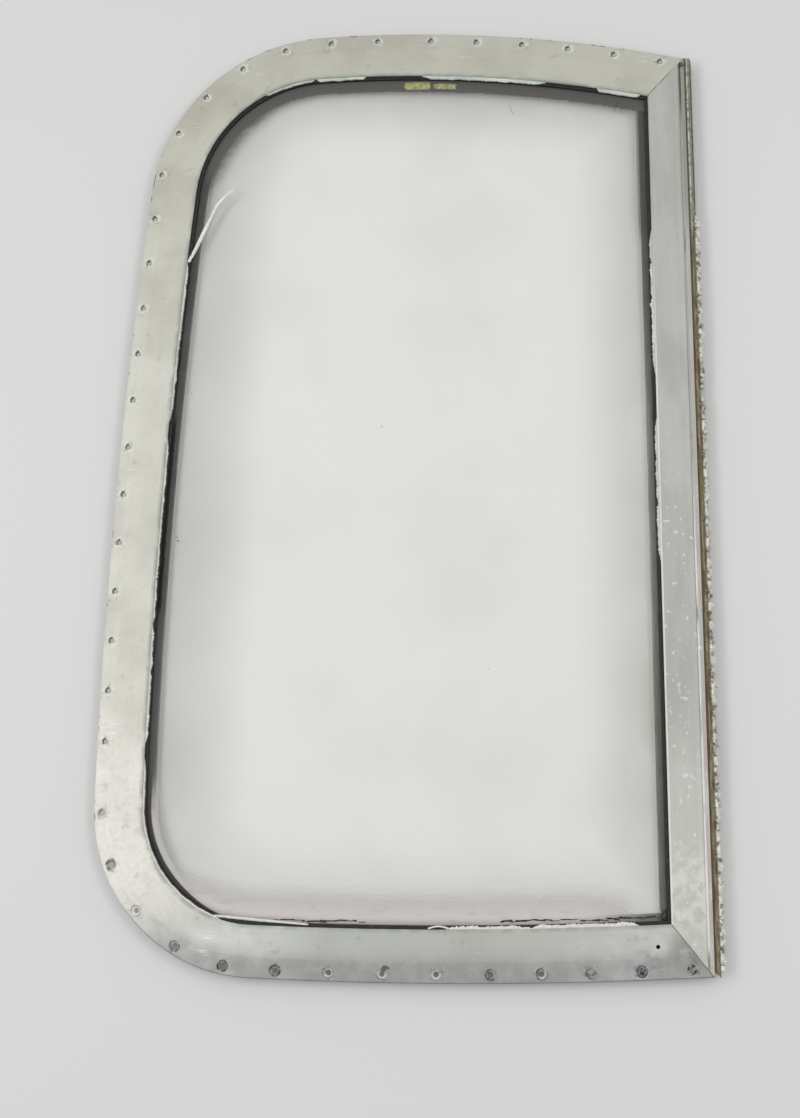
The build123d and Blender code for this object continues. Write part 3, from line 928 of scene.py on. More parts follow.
@dataclass(frozen=True)
class DustFilm:
    """Film of dust and wiped dirt on the glass.

    It is thin and grey in from the edge and wider on the left, which is painted shadow of
    the frame along with some dust. It is thick and dark below the top lip, as grime with
    painted shade, black with painted shade in the gaps on the left and in the bottom right
    corner, and thick and pale where dust has gathered along the bottom, thinning near the
    lip as painted shade.
    """

    haze_and_shadow: str = "#8F8A87"
    yellow: str = "#8F8A70"
    grime_and_shade: str = "#5C5A57"
    gap_shade: str = "#1D1C1A"
    pale: str = "#D2CDCB"
    yellow_share: float = 0.22
    roughness: float = 0.9
    top_left: tuple[float, ...] = (-132, 284, 8)
    bottom_right: tuple[float, ...] = (192, -324, 8)

    def make(self) -> bpy.types.Material:
        """Build the material.

        Returns:
            The material.
        """
        shade = Shade("dust_film")
        add = shade.add
        from_lip = add(Node.MINUS, shade.inset(), OUTLINE.face_width)
        from_jamb = add(Node.MINUS, JAMB.lip, shade.x)
        haze_and_shadow = self.haze_and_shadow_share(shade, from_lip, from_jamb)
        grime_and_shade = self.grime_and_shade_share(shade, from_lip, from_jamb)
        pale = self.pale_share(shade, from_lip)
        gap_shade = self.gap_shade_share(shade, from_lip)
        tinge = shade.span(shade.y, -240, -190, -150, -110)
        tinge = add(Node.TIMES, add(Node.RAMP, from_jamb, 34, 10), tinge)
        colour = shade.coat(
            self.haze_and_shadow,
            (self.yellow, tinge),
            (self.grime_and_shade, add(Node.RAMP, grime_and_shade, 0.0, 0.6)),
            (self.pale, add(Node.RAMP, pale, 0.0, 0.22)),
            (self.gap_shade, add(Node.RAMP, gap_shade, 0.0, 0.5)),
        )
        tinge = add(Node.TIMES, tinge, self.yellow_share)
        share = shade.fold(Node.LARGER, haze_and_shadow, grime_and_shade, pale, gap_shade, tinge)
        dust = add(Node.MATT, colour, self.roughness)
        return shade.surface(add(Node.EITHER, add(Node.CLEAR), dust, share))

    def haze_and_shadow_share(self, shade: Shade, from_lip: Socket, from_jamb: Socket) -> Socket:
        """Share of the grey haze, a painted shadow of the frame with some dust, that thins out towards
        the middle.

        Args:
            shade: the material's nodes.
            from_lip: distance in from the bent frame's lip.
            from_jamb: distance in from the jamb's lip.

        Returns:
            The share's output.
        """
        add = shade.add
        near = add(Node.TIMES, from_lip, add(Node.RAMP, shade.x, -60, -150, 1.0, 0.62))
        near = add(Node.SMALLER, near, from_jamb)
        # painted shadow: grey film near the edges, wider on the left, darkens the glass like the
        # frame's shadow on the floor below
        edge = shade.fold(
            Node.TIMES,
            add(Node.RAMP, near, 66, 3, 0.0, 0.17),
            shade.patches(60, 0.3, 0.6, 0.85, 1.05, seed=12),
            add(Node.RAMP, shade.y, -225, -320, 1.0, 0.5),
        )
        return add(Node.PLUS, edge, shade.patches(90, 0.45, 0.7, 0.0, 0.03, detail=2, seed=3))

    def grime_and_shade_share(self, shade: Shade, from_lip: Socket, from_jamb: Socket) -> Socket:
        """Share of the dark grime and painted shade below the top lip and in its two corners.

        Args:
            shade: the material's nodes.
            from_lip: distance in from the bent frame's lip.
            from_jamb: distance in from the jamb's lip.

        Returns:
            The share's output.
        """
        add = shade.add
        edge = add(Node.TIMES_PLUS, shade.grain(2.5, seed=33), 2.4, from_lip)
        # dark band below the top lip: grime with painted shade
        band = add(Node.RAMP, edge, 14.4, 12.2, 0.0, 0.93)
        band = add(Node.TIMES, band, add(Node.RAMP, shade.y, 215, 268))
        smear = shade.fold(
            Node.TIMES,
            add(Node.RAMP, edge, 24, 8),
            shade.spot(self.top_left, 62, 22),
            shade.patches(9, 0.3, 0.6, 0.45, 0.8, stretch=(2, 1, 1), seed=35),
        )
        side = add(Node.RAMP, from_jamb, 10.5, 8.8, 0.0, 0.6)
        side = add(Node.TIMES, side, add(Node.RAMP, shade.y, 170, 200))
        return shade.fold(Node.LARGER, band, smear, side)

    def gap_shade_share(self, shade: Shade, from_lip: Socket) -> Socket:
        """Share of the painted shade that makes the gaps black on the left and in the bottom right
        corner.

        Args:
            shade: the material's nodes.
            from_lip: distance in from the bent frame's lip.

        Returns:
            The share's output.
        """
        add = shade.add
        rough = shade.grain(2.5, seed=43)
        edge = add(Node.TIMES_PLUS, rough, 2.0, from_lip)
        # painted shade: black in the gap along the left lip
        left = shade.fold(
            Node.TIMES,
            shade.span(shade.y, -112, -88, 30, 62),
            add(Node.RAMP, edge, 6.6, 5.4, 0.0, 0.9),
            add(Node.RAMP, shade.x, -120, -140),
        )
        corner = shade.spot(self.bottom_right, 11, 4, 0.9)
        corner = add(Node.TIMES, corner, add(Node.RAMP, rough, 0.25, 0.5))
        return add(Node.LARGER, left, corner)

    def pale_share(self, shade: Shade, from_lip: Socket) -> Socket:
        """Share of the pale dust along the bottom and round its left corner, thinned near the lip as
        painted shade.

        Args:
            shade: the material's nodes.
            from_lip: distance in from the bent frame's lip.

        Returns:
            The share's output.
        """
        add, fold, x, y = shade.add, shade.fold, shade.x, shade.y
        start = add(Node.RAMP, x, -168, -120, 5.2, 2.2)
        begun = add(Node.RAMP, from_lip, start, add(Node.PLUS, start, 1.2))
        # painted shade: the pale dust thins near the lip so that it looks darker there
        begun = add(Node.TIMES, begun, add(Node.RAMP, from_lip, 2.5, 8.0, 0.72, 1.0))
        corner = fold(
            Node.TIMES,
            add(Node.RAMP, y, -212, -262),
            add(Node.RAMP, x, -70, -100),
            add(Node.RAMP, from_lip, 13, 7.5, 0.0, 0.8),
        )
        bottom = fold(
            Node.TIMES,
            add(Node.RAMP, y, -275, -318),
            add(Node.RAMP, x, 190, 130),
            add(Node.RAMP, from_lip, 36, 6, 0.0, 0.92),
        )
        clouds = shade.patches(6, 0.28, 0.5, 0.85, 1.0, stretch=(3, 1, 1), seed=37)
        return fold(Node.TIMES, begun, add(Node.LARGER, corner, bottom), clouds)


@dataclass(frozen=True)
class OldSealant:
    """Dried acrylic sealant: chalky, off-white going green-grey, with dirt in its pits."""

    pale: str = "#E2E1D9"
    green: str = "#C2CEC4"
    dirt: str = "#6E6F66"
    roughness: float = 0.78

    def make(self) -> bpy.types.Material:
        """Build the material.

        Returns:
            The material.
        """
        shade = Shade("old_sealant")
        add = shade.add
        colour = shade.coat(
            self.pale,
            (self.green, shade.patches(22, 0.38, 0.62), add(Node.RAMP, shade.y, -200, 60)),
            (self.dirt, shade.patches(1.3, 0.58, 0.7, seed=5), 0.6),
        )
        normal = add(Node.BUMP, shade.grain(0.6, seed=1), 0.15 * MM, 0.8)
        return shade.surface(add(Node.MATT, colour, self.roughness, normal))


@dataclass(frozen=True)
class YellowedTape:
    """Remains of clear tape: its glue has gone yellow-green and lets the glass show."""

    glue: str = "#B9BA84"
    passed: str = "#F1F2D8"
    roughness: float = 0.35

    def make(self) -> bpy.types.Material:
        """Build the material.

        Returns:
            The material.
        """
        shade = Shade("yellowed_tape")
        share = shade.patches(3, 0.3, 0.7, 0.45, 0.9, detail=4, seed=2)
        glue = shade.add(Node.MATT, linear(self.glue), self.roughness)
        clear = shade.add(Node.CLEAR, linear(self.passed))
        return shade.surface(shade.add(Node.EITHER, clear, glue, share))


@dataclass(frozen=True)
class RustedSteel:
    """Rolled steel channel: olive paint and grease worn off to brown rust in bands."""

    olive: str = "#8C876E"
    patina: str = "#8E9084"
    cream: str = "#C6C8BA"
    moss: str = "#666A58"
    dark: str = "#544B37"
    rust: str = "#6E5539"
    gold: str = "#A8987A"
    pit: str = "#3A3226"
    seam: float = 297.6

    def make(self) -> bpy.types.Material:
        """Build the material.

        Returns:
            The material.
        """
        shade = Shade("rusted_steel")
        add, patches, x, y = shade.add, shade.patches, shade.x, shade.y
        along = shade.grain(6, 4, (0.5, 5, 1), seed=4)
        high = add(Node.RAMP, y, 170, 225)
        low = add(Node.RAMP, y, 170, 90, 0.1, 0.85)
        streak = shade.beside(x, JAMB.outer + 1.9, 1.1, 0.5)
        bands = patches(5, 0.42, 0.62, detail=4, stretch=(0.4, 3, 1), seed=6)
        rust = add(Node.TIMES, bands, low)
        colour = shade.coat(
            self.olive,
            (self.dark, add(Node.RAMP, along, 0.42, 0.66)),
            (self.patina, high, 0.8),
            (self.cream, high, add(Node.TIMES, streak, add(Node.RAMP, along, 0.66, 0.5))),
            (
                self.moss,
                high,
                patches(3, 0.48, 0.62, detail=4, stretch=(0.6, 1.6, 1), seed=26),
                0.7,
            ),
            (self.dark, shade.beside(y, self.seam, 0.7, 0.25, 0.7)),
            (self.rust, rust),
            (self.gold, patches(4, 0.5, 0.68, stretch=(0.4, 4, 1), seed=16), low),
            # painted shadow: a dark line where the step down from the rib shades the channel
            (self.dark, add(Node.RAMP, x, JAMB.outer + 2.0, JAMB.outer + 1.2, 0.0, 0.85)),
            (self.pit, patches(1.2, 0.55, 0.7, seed=9), 0.6),
        )
        rough = add(Node.RAMP, rust, 0.0, 0.6, 0.55, 0.88)
        normal = add(Node.BUMP, shade.grain(0.9, 4, seed=10), 0.15 * MM, 0.8)
        metal = add(Node.RAMP, rust, 0.2, 0.6, 0.45, 0.0)
        return shade.surface(add(Node.MATT, colour, rough, normal, metal))


@dataclass(frozen=True)
class PileFibre:
    """Woven synthetic pile, sun-bleached at the tips with a painted highlight there, and brown where
    the rust got in.
    """

    lit_pale: str = "#FAF8EF"
    olive: str = "#7A775E"
    brown: str = "#5A4730"
    roughness: float = 0.85
    sheen: float = 0.2

    def make(self) -> bpy.types.Material:
        """Build the material.

        Returns:
            The material.
        """
        shade = Shade("pile_fibre")
        add, patches = shade.add, shade.patches
        tip = add(Node.RAMP, shade.x, OUTLINE.right - 2.4, OUTLINE.right - 0.9)
        tip = add(Node.TIMES, tip, add(Node.RAMP, shade.y, 215, 195))
        colour = shade.coat(
            self.olive,
            # bleached tips, lightened further as a painted highlight
            (
                self.lit_pale,
                tip,
                patches(4, 0.4, 0.5, 0.08, 1.0, seed=23),
                patches(0.7, 0.25, 0.45, 0.55, 1.0, detail=1, seed=3),
            ),
            (
                self.brown,
                patches(14, 0.46, 0.62, seed=15),
                add(Node.RAMP, shade.y, 170, 80, 0.2, 0.9),
                add(Node.RAMP, tip, 0.2, 1.0, 1.0, 0.35),
            ),
        )
        return shade.surface(add(Node.FIBRE, colour, self.roughness, self.sheen))


@dataclass(frozen=True)
class PileBacking:
    """Woven backing of the pile: olive threads about 0.8 mm apart, brown with rust."""

    thread: str = "#6E6A52"
    gap: str = "#3C382B"
    rust: str = "#5A4026"
    spacing: float = 0.8
    roughness: float = 0.9

    def make(self) -> bpy.types.Material:
        """Build the material.

        Returns:
            The material.
        """
        shade = Shade("pile_backing")
        waves = [
            shade.add(way, shade.place, 1 / self.spacing, 0.6)
            for way in (Node.WAVES_UP, Node.WAVES_OUT)
        ]
        weave = shade.fold(Node.TIMES, *waves)
        rust = (self.rust, shade.patches(12, 0.46, 0.62, seed=15), 0.7)
        colour = shade.coat(self.gap, (self.thread, weave), rust)
        normal = shade.add(Node.BUMP, weave, 0.2 * MM, 0.8)
        return shade.surface(shade.add(Node.MATT, colour, self.roughness, normal))


class Plating(Enum):
    """Small metal fittings: base colour, stain colour, metallic and roughness."""

    KEY = ("key_steel", "#A9A9A2", "#77664C", 1.0, 0.45)
    SCREW = ("screw_steel", "#9A9A94", "#33322D", 0.6, 0.45)
    RIVET = ("rivet_metal", "#A6A6AA", "#7C7C80", 1.0, 0.42)
    FILLER = ("dark_filler", "#85878C", "#2B2C2E", 0.2, 0.7)


@dataclass(frozen=True)
class Fitting:
    """Plated steel or soft metal of a small fitting, dulled and stained in patches."""

    plating: Plating
    patch: float = 3.0
    dulled: float = 0.25

    def make(self) -> bpy.types.Material:
        """Build the material.

        Returns:
            The material.
        """
        name, base, stain, metallic, roughness = self.plating.value
        shade = Shade(name)
        stains = shade.patches(self.patch, 0.4, 0.62, detail=4, seed=7)
        rough = shade.add(Node.RAMP, stains, 0.0, 1.0, roughness, roughness + self.dulled)
        normal = shade.add(Node.BUMP, shade.grain(0.5, seed=2), 0.05 * MM, 0.6)
        colour = shade.coat(base, (stain, stains))
        return shade.surface(shade.add(Node.MATT, colour, rough, normal, metallic))


@dataclass(frozen=True)
class Speck:
    """Dry crumbs and hairs, matt all over with a slight change of tone."""

    name: str
    tone: str
    shadow: str
    roughness: float = 0.85

    def make(self) -> bpy.types.Material:
        """Build the material.

        Returns:
            The material.
        """
        shade = Shade(self.name)
        colour = shade.coat(self.tone, (self.shadow, shade.patches(0.8, 0.35, 0.65)))
        normal = shade.add(Node.BUMP, shade.grain(0.4, 2, seed=3), 0.1 * MM, 0.6)
        return shade.surface(shade.add(Node.MATT, colour, self.roughness, normal))


@dataclass(frozen=True)
class Station:
    """One place on the way of a swept piece, in millimetres and radians."""

    place: Vector
    heading: float
    width: float
    height: float
    lean: float = 0.0
    climb: float = 0.0

    def matrix(self) -> Matrix:
        """Where a section one unit wide and high goes, in metres.

        Returns:
            The section's matrix.
        """
        turn = Matrix.Rotation(self.heading, 4, "Z")
        turn = turn @ Matrix.Rotation(-self.climb, 4, "Y") @ Matrix.Rotation(self.lean, 4, "X")
        size = Matrix.Diagonal((1.0, self.width, self.height, 1.0))
        return Matrix.Scale(MM, 4) @ Matrix.Translation(self.place) @ turn @ size


class Section(Enum):
    """Sections that are swept: across and up, one unit wide and high, seen along the way."""

    BEAD = ((0.0, 0.0), (1.0, 0.0), (0.92, 0.45), (0.55, 0.9), (0.0, 1.0))
    RIBBON = ((-0.5, 0.0), (0.5, 0.0), (0.45, 0.8), (0.0, 1.0), (-0.45, 0.8))
    HAIR = ((-0.5, 0.0), (0.0, -0.5), (0.5, 0.0), (0.0, 0.5))


def noisy(*place: float) -> float:
    """Smooth random value at a place of up to three numbers, from about -1 to 1."""
    return noise.noise(Vector((*place, 0, 0)[:3]))


def above(point: Vector, height: float) -> Vector:
    """The point in plan raised to a height."""
    return Vector((point.x, point.y, height))


def grow(shape: Shape, face: bmesh.types.BMFace) -> tuple[list[bmesh.types.BMVert], bmesh.types.BMFace]:
    """Extrude a face in place.

    Args:
        shape: the mesh that it belongs to.
        face: the face.

    Returns:
        The new corners and the new face.
    """
    grown = bmesh.ops.extrude_face_region(shape, geom=[face])["geom"]
    corners = [item for item in grown if isinstance(item, bmesh.types.BMVert)]
    return corners, next(item for item in grown if isinstance(item, bmesh.types.BMFace))


def sweep(shape: Shape, section: Section, stations: list[Station]) -> None:
    """Extrude a section from station to station.

    Args:
        shape: the mesh that it goes into.
        section: the section's corners.
        stations: the way, with the section's size at each place.
    """
    start = stations[0].matrix()
    corners = [shape.verts.new(start @ Vector((0, across, up))) for across, up in section.value]
    face = shape.faces.new(corners)
    for before, after in zip(stations, stations[1:]):
        moved, face = grow(shape, face)
        bmesh.ops.transform(shape, matrix=after.matrix() @ before.matrix().inverted(), verts=moved)


def patch(shape: Shape, place: Vector, size: Vector, turn: float, seed: float) -> None:
    """Add a flat flake with a ragged rim.

    Args:
        shape: the mesh that it goes into.
        place: middle of its underside in millimetres.
        size: length, width and thickness in millimetres.
        turn: its direction in radians.
        seed: tells its rim from another's.
    """
    made = bmesh.ops.create_circle(shape, cap_ends=True, segments=40, radius=0.5)["verts"]
    for corner in made:
        angle = atan2(corner.co.y, corner.co.x)
        square = 1 / max(abs(cos(angle)), abs(sin(angle))) ** 0.75
        ragged = 1 + 0.16 * noisy(3 * cos(angle), 3 * sin(angle), seed)
        ragged += 0.10 * noisy(9 * cos(angle), 9 * sin(angle), seed)
        corner.co *= square * ragged
    raised, _ = grow(shape, made[0].link_faces[0])
    bmesh.ops.translate(shape, vec=UPRIGHT, verts=raised)
    where = Matrix.Scale(MM, 4) @ Matrix.Translation(place) @ Matrix.Rotation(turn, 4, "Z")
    bmesh.ops.transform(shape, matrix=where @ Matrix.Diagonal((*size, 1.0)), verts=made + raised)


def finish_piece(
    name: str,
    shape: Shape,
    material: bpy.types.Material,
    stands_for: str | None = None,
    smooth: bool = True,
) -> None:
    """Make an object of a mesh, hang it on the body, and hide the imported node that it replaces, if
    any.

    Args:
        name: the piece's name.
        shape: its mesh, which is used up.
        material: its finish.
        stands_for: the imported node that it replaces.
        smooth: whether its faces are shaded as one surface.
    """
    bmesh.ops.recalc_face_normals(shape, faces=shape.faces[:])
    mesh = bpy.data.meshes.new(name)
    shape.to_mesh(mesh)
    shape.free()
    mesh.materials.append(material)
    for face in mesh.polygons:
        face.use_smooth = smooth
    piece = bpy.data.objects.new(name, mesh)
    bpy.context.scene.collection.objects.link(piece)
    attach(piece, BODY)
    if stands_for:
        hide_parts(stands_for)
    log.info("%s: %d faces", name, len(mesh.polygons))


@dataclass(frozen=True)
class Run:
    """A stretch of sealant beside the lip, in millimetres along it."""

    first: float
    last: float
    width: float = 1.8
    height: float = 1.2
    ragged: float = 0.5


@dataclass(frozen=True)
class Sealant:
    """Remains of the sealant that once closed the joint between the lip and the glass.

    The runs at the top start from the right edge, and those of the side and the bottom are
    counted back from the other end of the outline. The jamb's are heights.
    """

    step: float = 0.9
    top: tuple[Run, ...] = (
        Run(42, 76, 2.6, 1.4, 0.25),
        Run(117, 216, 2.4, 1.4, 0.35),
        Run(262, 302, 2.0, 1.3, 0.5),
        Run(304, 345, 1.3, 1.1, 0.7),
    )
    side: tuple[Run, ...] = (
        Run(512, 600, 1.7, 1.3, 0.6),
        Run(600, 747, 1.4, 1.1, 0.7),
        Run(762, 893, 1.8, 1.2, 0.55),
    )
    bottom: tuple[Run, ...] = (
        Run(57, 132, 2.6, 1.4, 0.45),
        Run(132, 192, 2.2, 1.4, 0.65),
        Run(357, 500, 1.5, 1.2, 0.3),
    )
    jamb: tuple[Run, ...] = (Run(-68, 40, 1.7, 1.2, 0.7), Run(75, 190, 1.7, 1.2, 0.7))

    def build(self) -> None:
        """Build the four pieces."""
        finish = OldSealant().make()
        line = OUTLINE.length(OUTLINE.face_width)
        back = [self.bead(run, line - run.last, line - run.first) for run in self.side + self.bottom]
        beads = {
            "top": [self.bead(run, run.first, run.last) for run in self.top],
            "side": back[:len(self.side)],
            "bottom": back[len(self.side):],
            "jamb": [self.bead(run, run.first, run.last, True) for run in self.jamb],
        }
        for side, ways in beads.items():
            shape = bmesh.new()
            for way in ways:
                sweep(shape, Section.BEAD, way)
            if side == "bottom":
                sweep(shape, Section.RIBBON, self.lifted())
                sweep(shape, Section.RIBBON, self.arched())
            finish_piece(f"sealant_along_{side}", shape, finish, f"sealant_{side}")

    def bead(self, run: Run, first: float, last: float, on_jamb: bool = False) -> list[Station]:
        """Find the places of a ragged bead.

        Args:
            run: the stretch that it fills.
            first: where it starts along the outline, or up the jamb.
            last: where it ends.
            on_jamb: whether it lies along the jamb.

        Returns:
            The stations, thinner at both ends.
        """
        count = max(4, round((last - first) / self.step))
        stations = []
        for i in range(count + 1):
            along = first + (last - first) * i / count
            if on_jamb:
                point, heading = Vector((JAMB.lip, along)), pi / 2
            else:
                point, heading = OUTLINE.at(OUTLINE.face_width, along)
            coarse, fine = noisy(along / 7, run.first), noisy(along / 1.6, run.first, 5)
            ends = min(1.0, 0.15 + 12 * min(i / count, 1 - i / count))
            width = run.width * ends * max(0.12, 1 + run.ragged * (1.1 * coarse + 0.8 * fine))
            height = run.height * (0.75 + 0.25 * ends + 0.25 * fine)
            stations.append(Station(above(point, LEVELS.lip), heading, width, height))
        return stations

    def lifted(self) -> list[Station]:
        """The end of the bottom bead, which has come away from the lip and bows inwards.

        Returns:
            The stations.
        """
        start, end, steps = -150.0, -44.0, 60
        away, sag = 6.0, 1.2
        stations = []
        for i in range(steps + 1):
            share = i / steps
            x = start + (end - start) * share
            off = away * sin(pi * min(share / 0.2, 1) / 2) * (1 - share) ** 0.85 + 0.2
            width = (1.2 + 1.0 * sin(pi * share)) * (1 + 0.25 * noisy(x / 5))
            place = Vector((x, OUTLINE.lip_height(x) + off, LEVELS.glass_top + 1 + sag * (1 - share)))
            stations.append(Station(place, -0.06 * (1 - 2 * share), width, 1.0, 0.3))
        return stations

    def arched(self) -> list[Station]:
        """A short bit near the middle of the bottom, arched over the black rubber.

        Returns:
            The stations.
        """
        start, length, steps = 22.5, 15, 24
        stations = []
        for i in range(steps + 1):
            share = i / steps
            x = start + length * share
            y = OUTLINE.lip_height(x) + 0.6 + 1.7 * sin(pi * share)
            place = Vector((x, y, LEVELS.lip + 0.2 + 0.8 * sin(pi * share)))
            stations.append(Station(place, 0.35 * cos(pi * share), 1.3, 0.8))
        return stations


@dataclass(frozen=True)
class CurledStrip:
    """Thin strip of sealant that has peeled off the left lip and curls over the glass.

    Each of its turns has a radius in millimetres and an angle in degrees.
    """

    turns: tuple[tuple[float, float], ...] = ((955.0, 3.0), (18.0, 20.0), (130.0, 7.0))
    from_top: float = 190.0
    off_lip: float = 0.9
    lean: float = 67.5
    rise: float = 3.4

    def build(self) -> None:
        """Build the strip."""
        strip = bmesh.new()
        sweep(strip, Section.RIBBON, self.way())
        finish = Speck("peeled_sealant", "#FAF9F6", "#D9D9D2").make()
        finish_piece("curled_strip", strip, finish, "peeled_strip")

    def way(self) -> list[Station]:
        """Places from the lip end to the free end, which rises off the glass.

        Returns:
            The stations.
        """
        y = OUTLINE.top - self.from_top
        centre = OUTLINE.wheels[2].centre
        reach = OUTLINE.side_radius - OUTLINE.face_width - self.off_lip
        point = Vector((centre.x - sqrt(reach**2 - (y - centre.y) ** 2), y))
        heading = radians(self.lean)
        total = sum(radius * radians(turn) for radius, turn in self.turns)
        stations, done = [], 0.0
        for radius, turn in self.turns:
            steps = max(8, round(radius * radians(turn) / 1.2))
            stride = radius * radians(turn) / steps
            for _ in range(steps):
                share = done / total
                over_rubber = 2.4 * max(0.0, 1 - done / 14)
                z = LEVELS.glass_top + 0.15 + self.rise * share**2 + over_rubber
                ragged = 1 + 0.3 * noisy(done / 2.5, 1)
                width = (2.3 + 5.2 * share * (1 - share) - 1.0 * share) * ragged
                lean = 0.5 * sin(2.5 * share * pi)
                stations.append(Station(above(point, z), heading, width, 0.5, lean, 0.1 * share))
                heading -= radians(turn) / steps
                point = point + stride * towards(heading)
                done += stride
        return stations


@dataclass(frozen=True)
class Tape:
    """Two torn bits of yellowed tape on the glass below the top lip."""

    from_right: float = 207.0
    from_lip: float = 7.0
    thickness: float = 0.12

    def build(self) -> None:
        """Build the bits as one piece."""
        bits = bmesh.new()
        for shift, length, width, seed in ((-9.5, 21, 6.4, 3.0), (12.5, 18, 4.6, 8.0)):
            x = OUTLINE.right - self.from_right + shift
            place = Vector((x, OUTLINE.top_height(OUTLINE.face_width + self.from_lip, x)))
            lean = bearing(OUTLINE.wheels[0].centre, place) - pi / 2
            place = above(place, LEVELS.glass_top + 0.01)
            patch(bits, place, Vector((length, width, self.thickness)), lean, seed)
        finish = YellowedTape().make()
        finish_piece("tape_bits", bits, finish, "tape_remnant", False)


@dataclass(frozen=True)
class Pile:
    """Short stiff pile of the weather strip, in tufts that stand out from the backing."""

    worn_from: float = 199.0
    bare: tuple[float, float] = (55.0, 63.0)
    root: float = 1.8
    pitch: float = 1.05
    rows: tuple[float, ...] = (4.9, 6.4, 7.9, 9.4)
    fibres: int = 7
    kinds: int = 6
    thickness: float = 0.4
    frayed_height: float = 11.25
    frayed_root: float = 3.0

    def build(self) -> None:
        """Build the pile as one mesh of tufts."""
        chance = Random(5)
        tufts = [self.tuft(chance) for _ in range(self.kinds)]
        pile = bmesh.new()
        y = OUTLINE.bottom_height(0, JAMB.outer) + 5
        end = OUTLINE.top_height(0, JAMB.outer) - 1
        while y < end:
            for row in self.rows:
                self.plant(pile, tufts, chance, y, row)
            if y < self.worn_from and noisy(y / 4, 3, 1) > -0.25:
                self.plant(pile, tufts, chance, y, self.frayed_height)
            y += self.pitch
        for kind in tufts:
            bpy.data.meshes.remove(kind)
        finish_piece("pile_tufts", pile, PileFibre().make(), "pile_brush", False)

    def plant(
        self, pile: Shape, tufts: list[bpy.types.Mesh], chance: Random, y: float, row: float
    ) -> None:
        """Set one tuft into the backing, unless it has worn away there.

        Args:
            pile: the mesh that it goes into.
            tufts: the kinds of tuft.
            chance: source of the random choices.
            y: how high up the jamb it stands.
            row: its height above the floor.
        """
        kind = chance.choice(tufts)
        length = 0.95 + 0.35 * noisy(y / 3.5, row) + chance.uniform(-0.12, 0.12)
        lean, root = 0.5 * noisy(y / 6, row / 3, 4), self.root
        if self.bare[0] < y < self.bare[1] or noisy(y / 5, 0, 8) > 0.5:
            return
        if y > self.worn_from:
            length, lean = 0.66, 0.0
        if row == self.frayed_height:
            root, length = self.frayed_root, 0.6 * length
        place = Vector((JAMB.outer + root, y + chance.uniform(-0.2, 0.2), row))
        where = Matrix.Translation(place * MM) @ Matrix.Rotation(lean, 4, "Z")
        where = where @ Matrix.Diagonal((length, 1, 1, 1))
        kind.transform(where)
        pile.from_mesh(kind)
        kind.transform(where.inverted())

    def tuft(self, chance: Random) -> bpy.types.Mesh:
        """Build one tuft of fibres that spread from its root along +X.

        Args:
            chance: source of the random choices.

        Returns:
            The tuft's mesh, with its root at the origin.
        """
        tuft = bmesh.new()
        for _ in range(self.fibres):
            length = chance.uniform(4.6, 6.2)
            spread = Matrix.Rotation(chance.uniform(-0.16, 0.16), 4, "Z")
            spread = spread @ Matrix.Rotation(chance.uniform(-0.14, 0.14), 4, "Y")
            lay = Matrix.Rotation(pi / 2, 4, "Y") @ Matrix.Translation((0, 0, length / 2 * MM))
            bmesh.ops.create_cone(
                tuft,
                cap_ends=True,
                segments=3,
                radius1=self.thickness * MM,
                radius2=self.thickness * MM / 3,
                depth=length * MM,
                matrix=spread @ lay,
            )
        mesh = bpy.data.meshes.new("tuft")
        tuft.to_mesh(mesh)
        tuft.free()
        return mesh


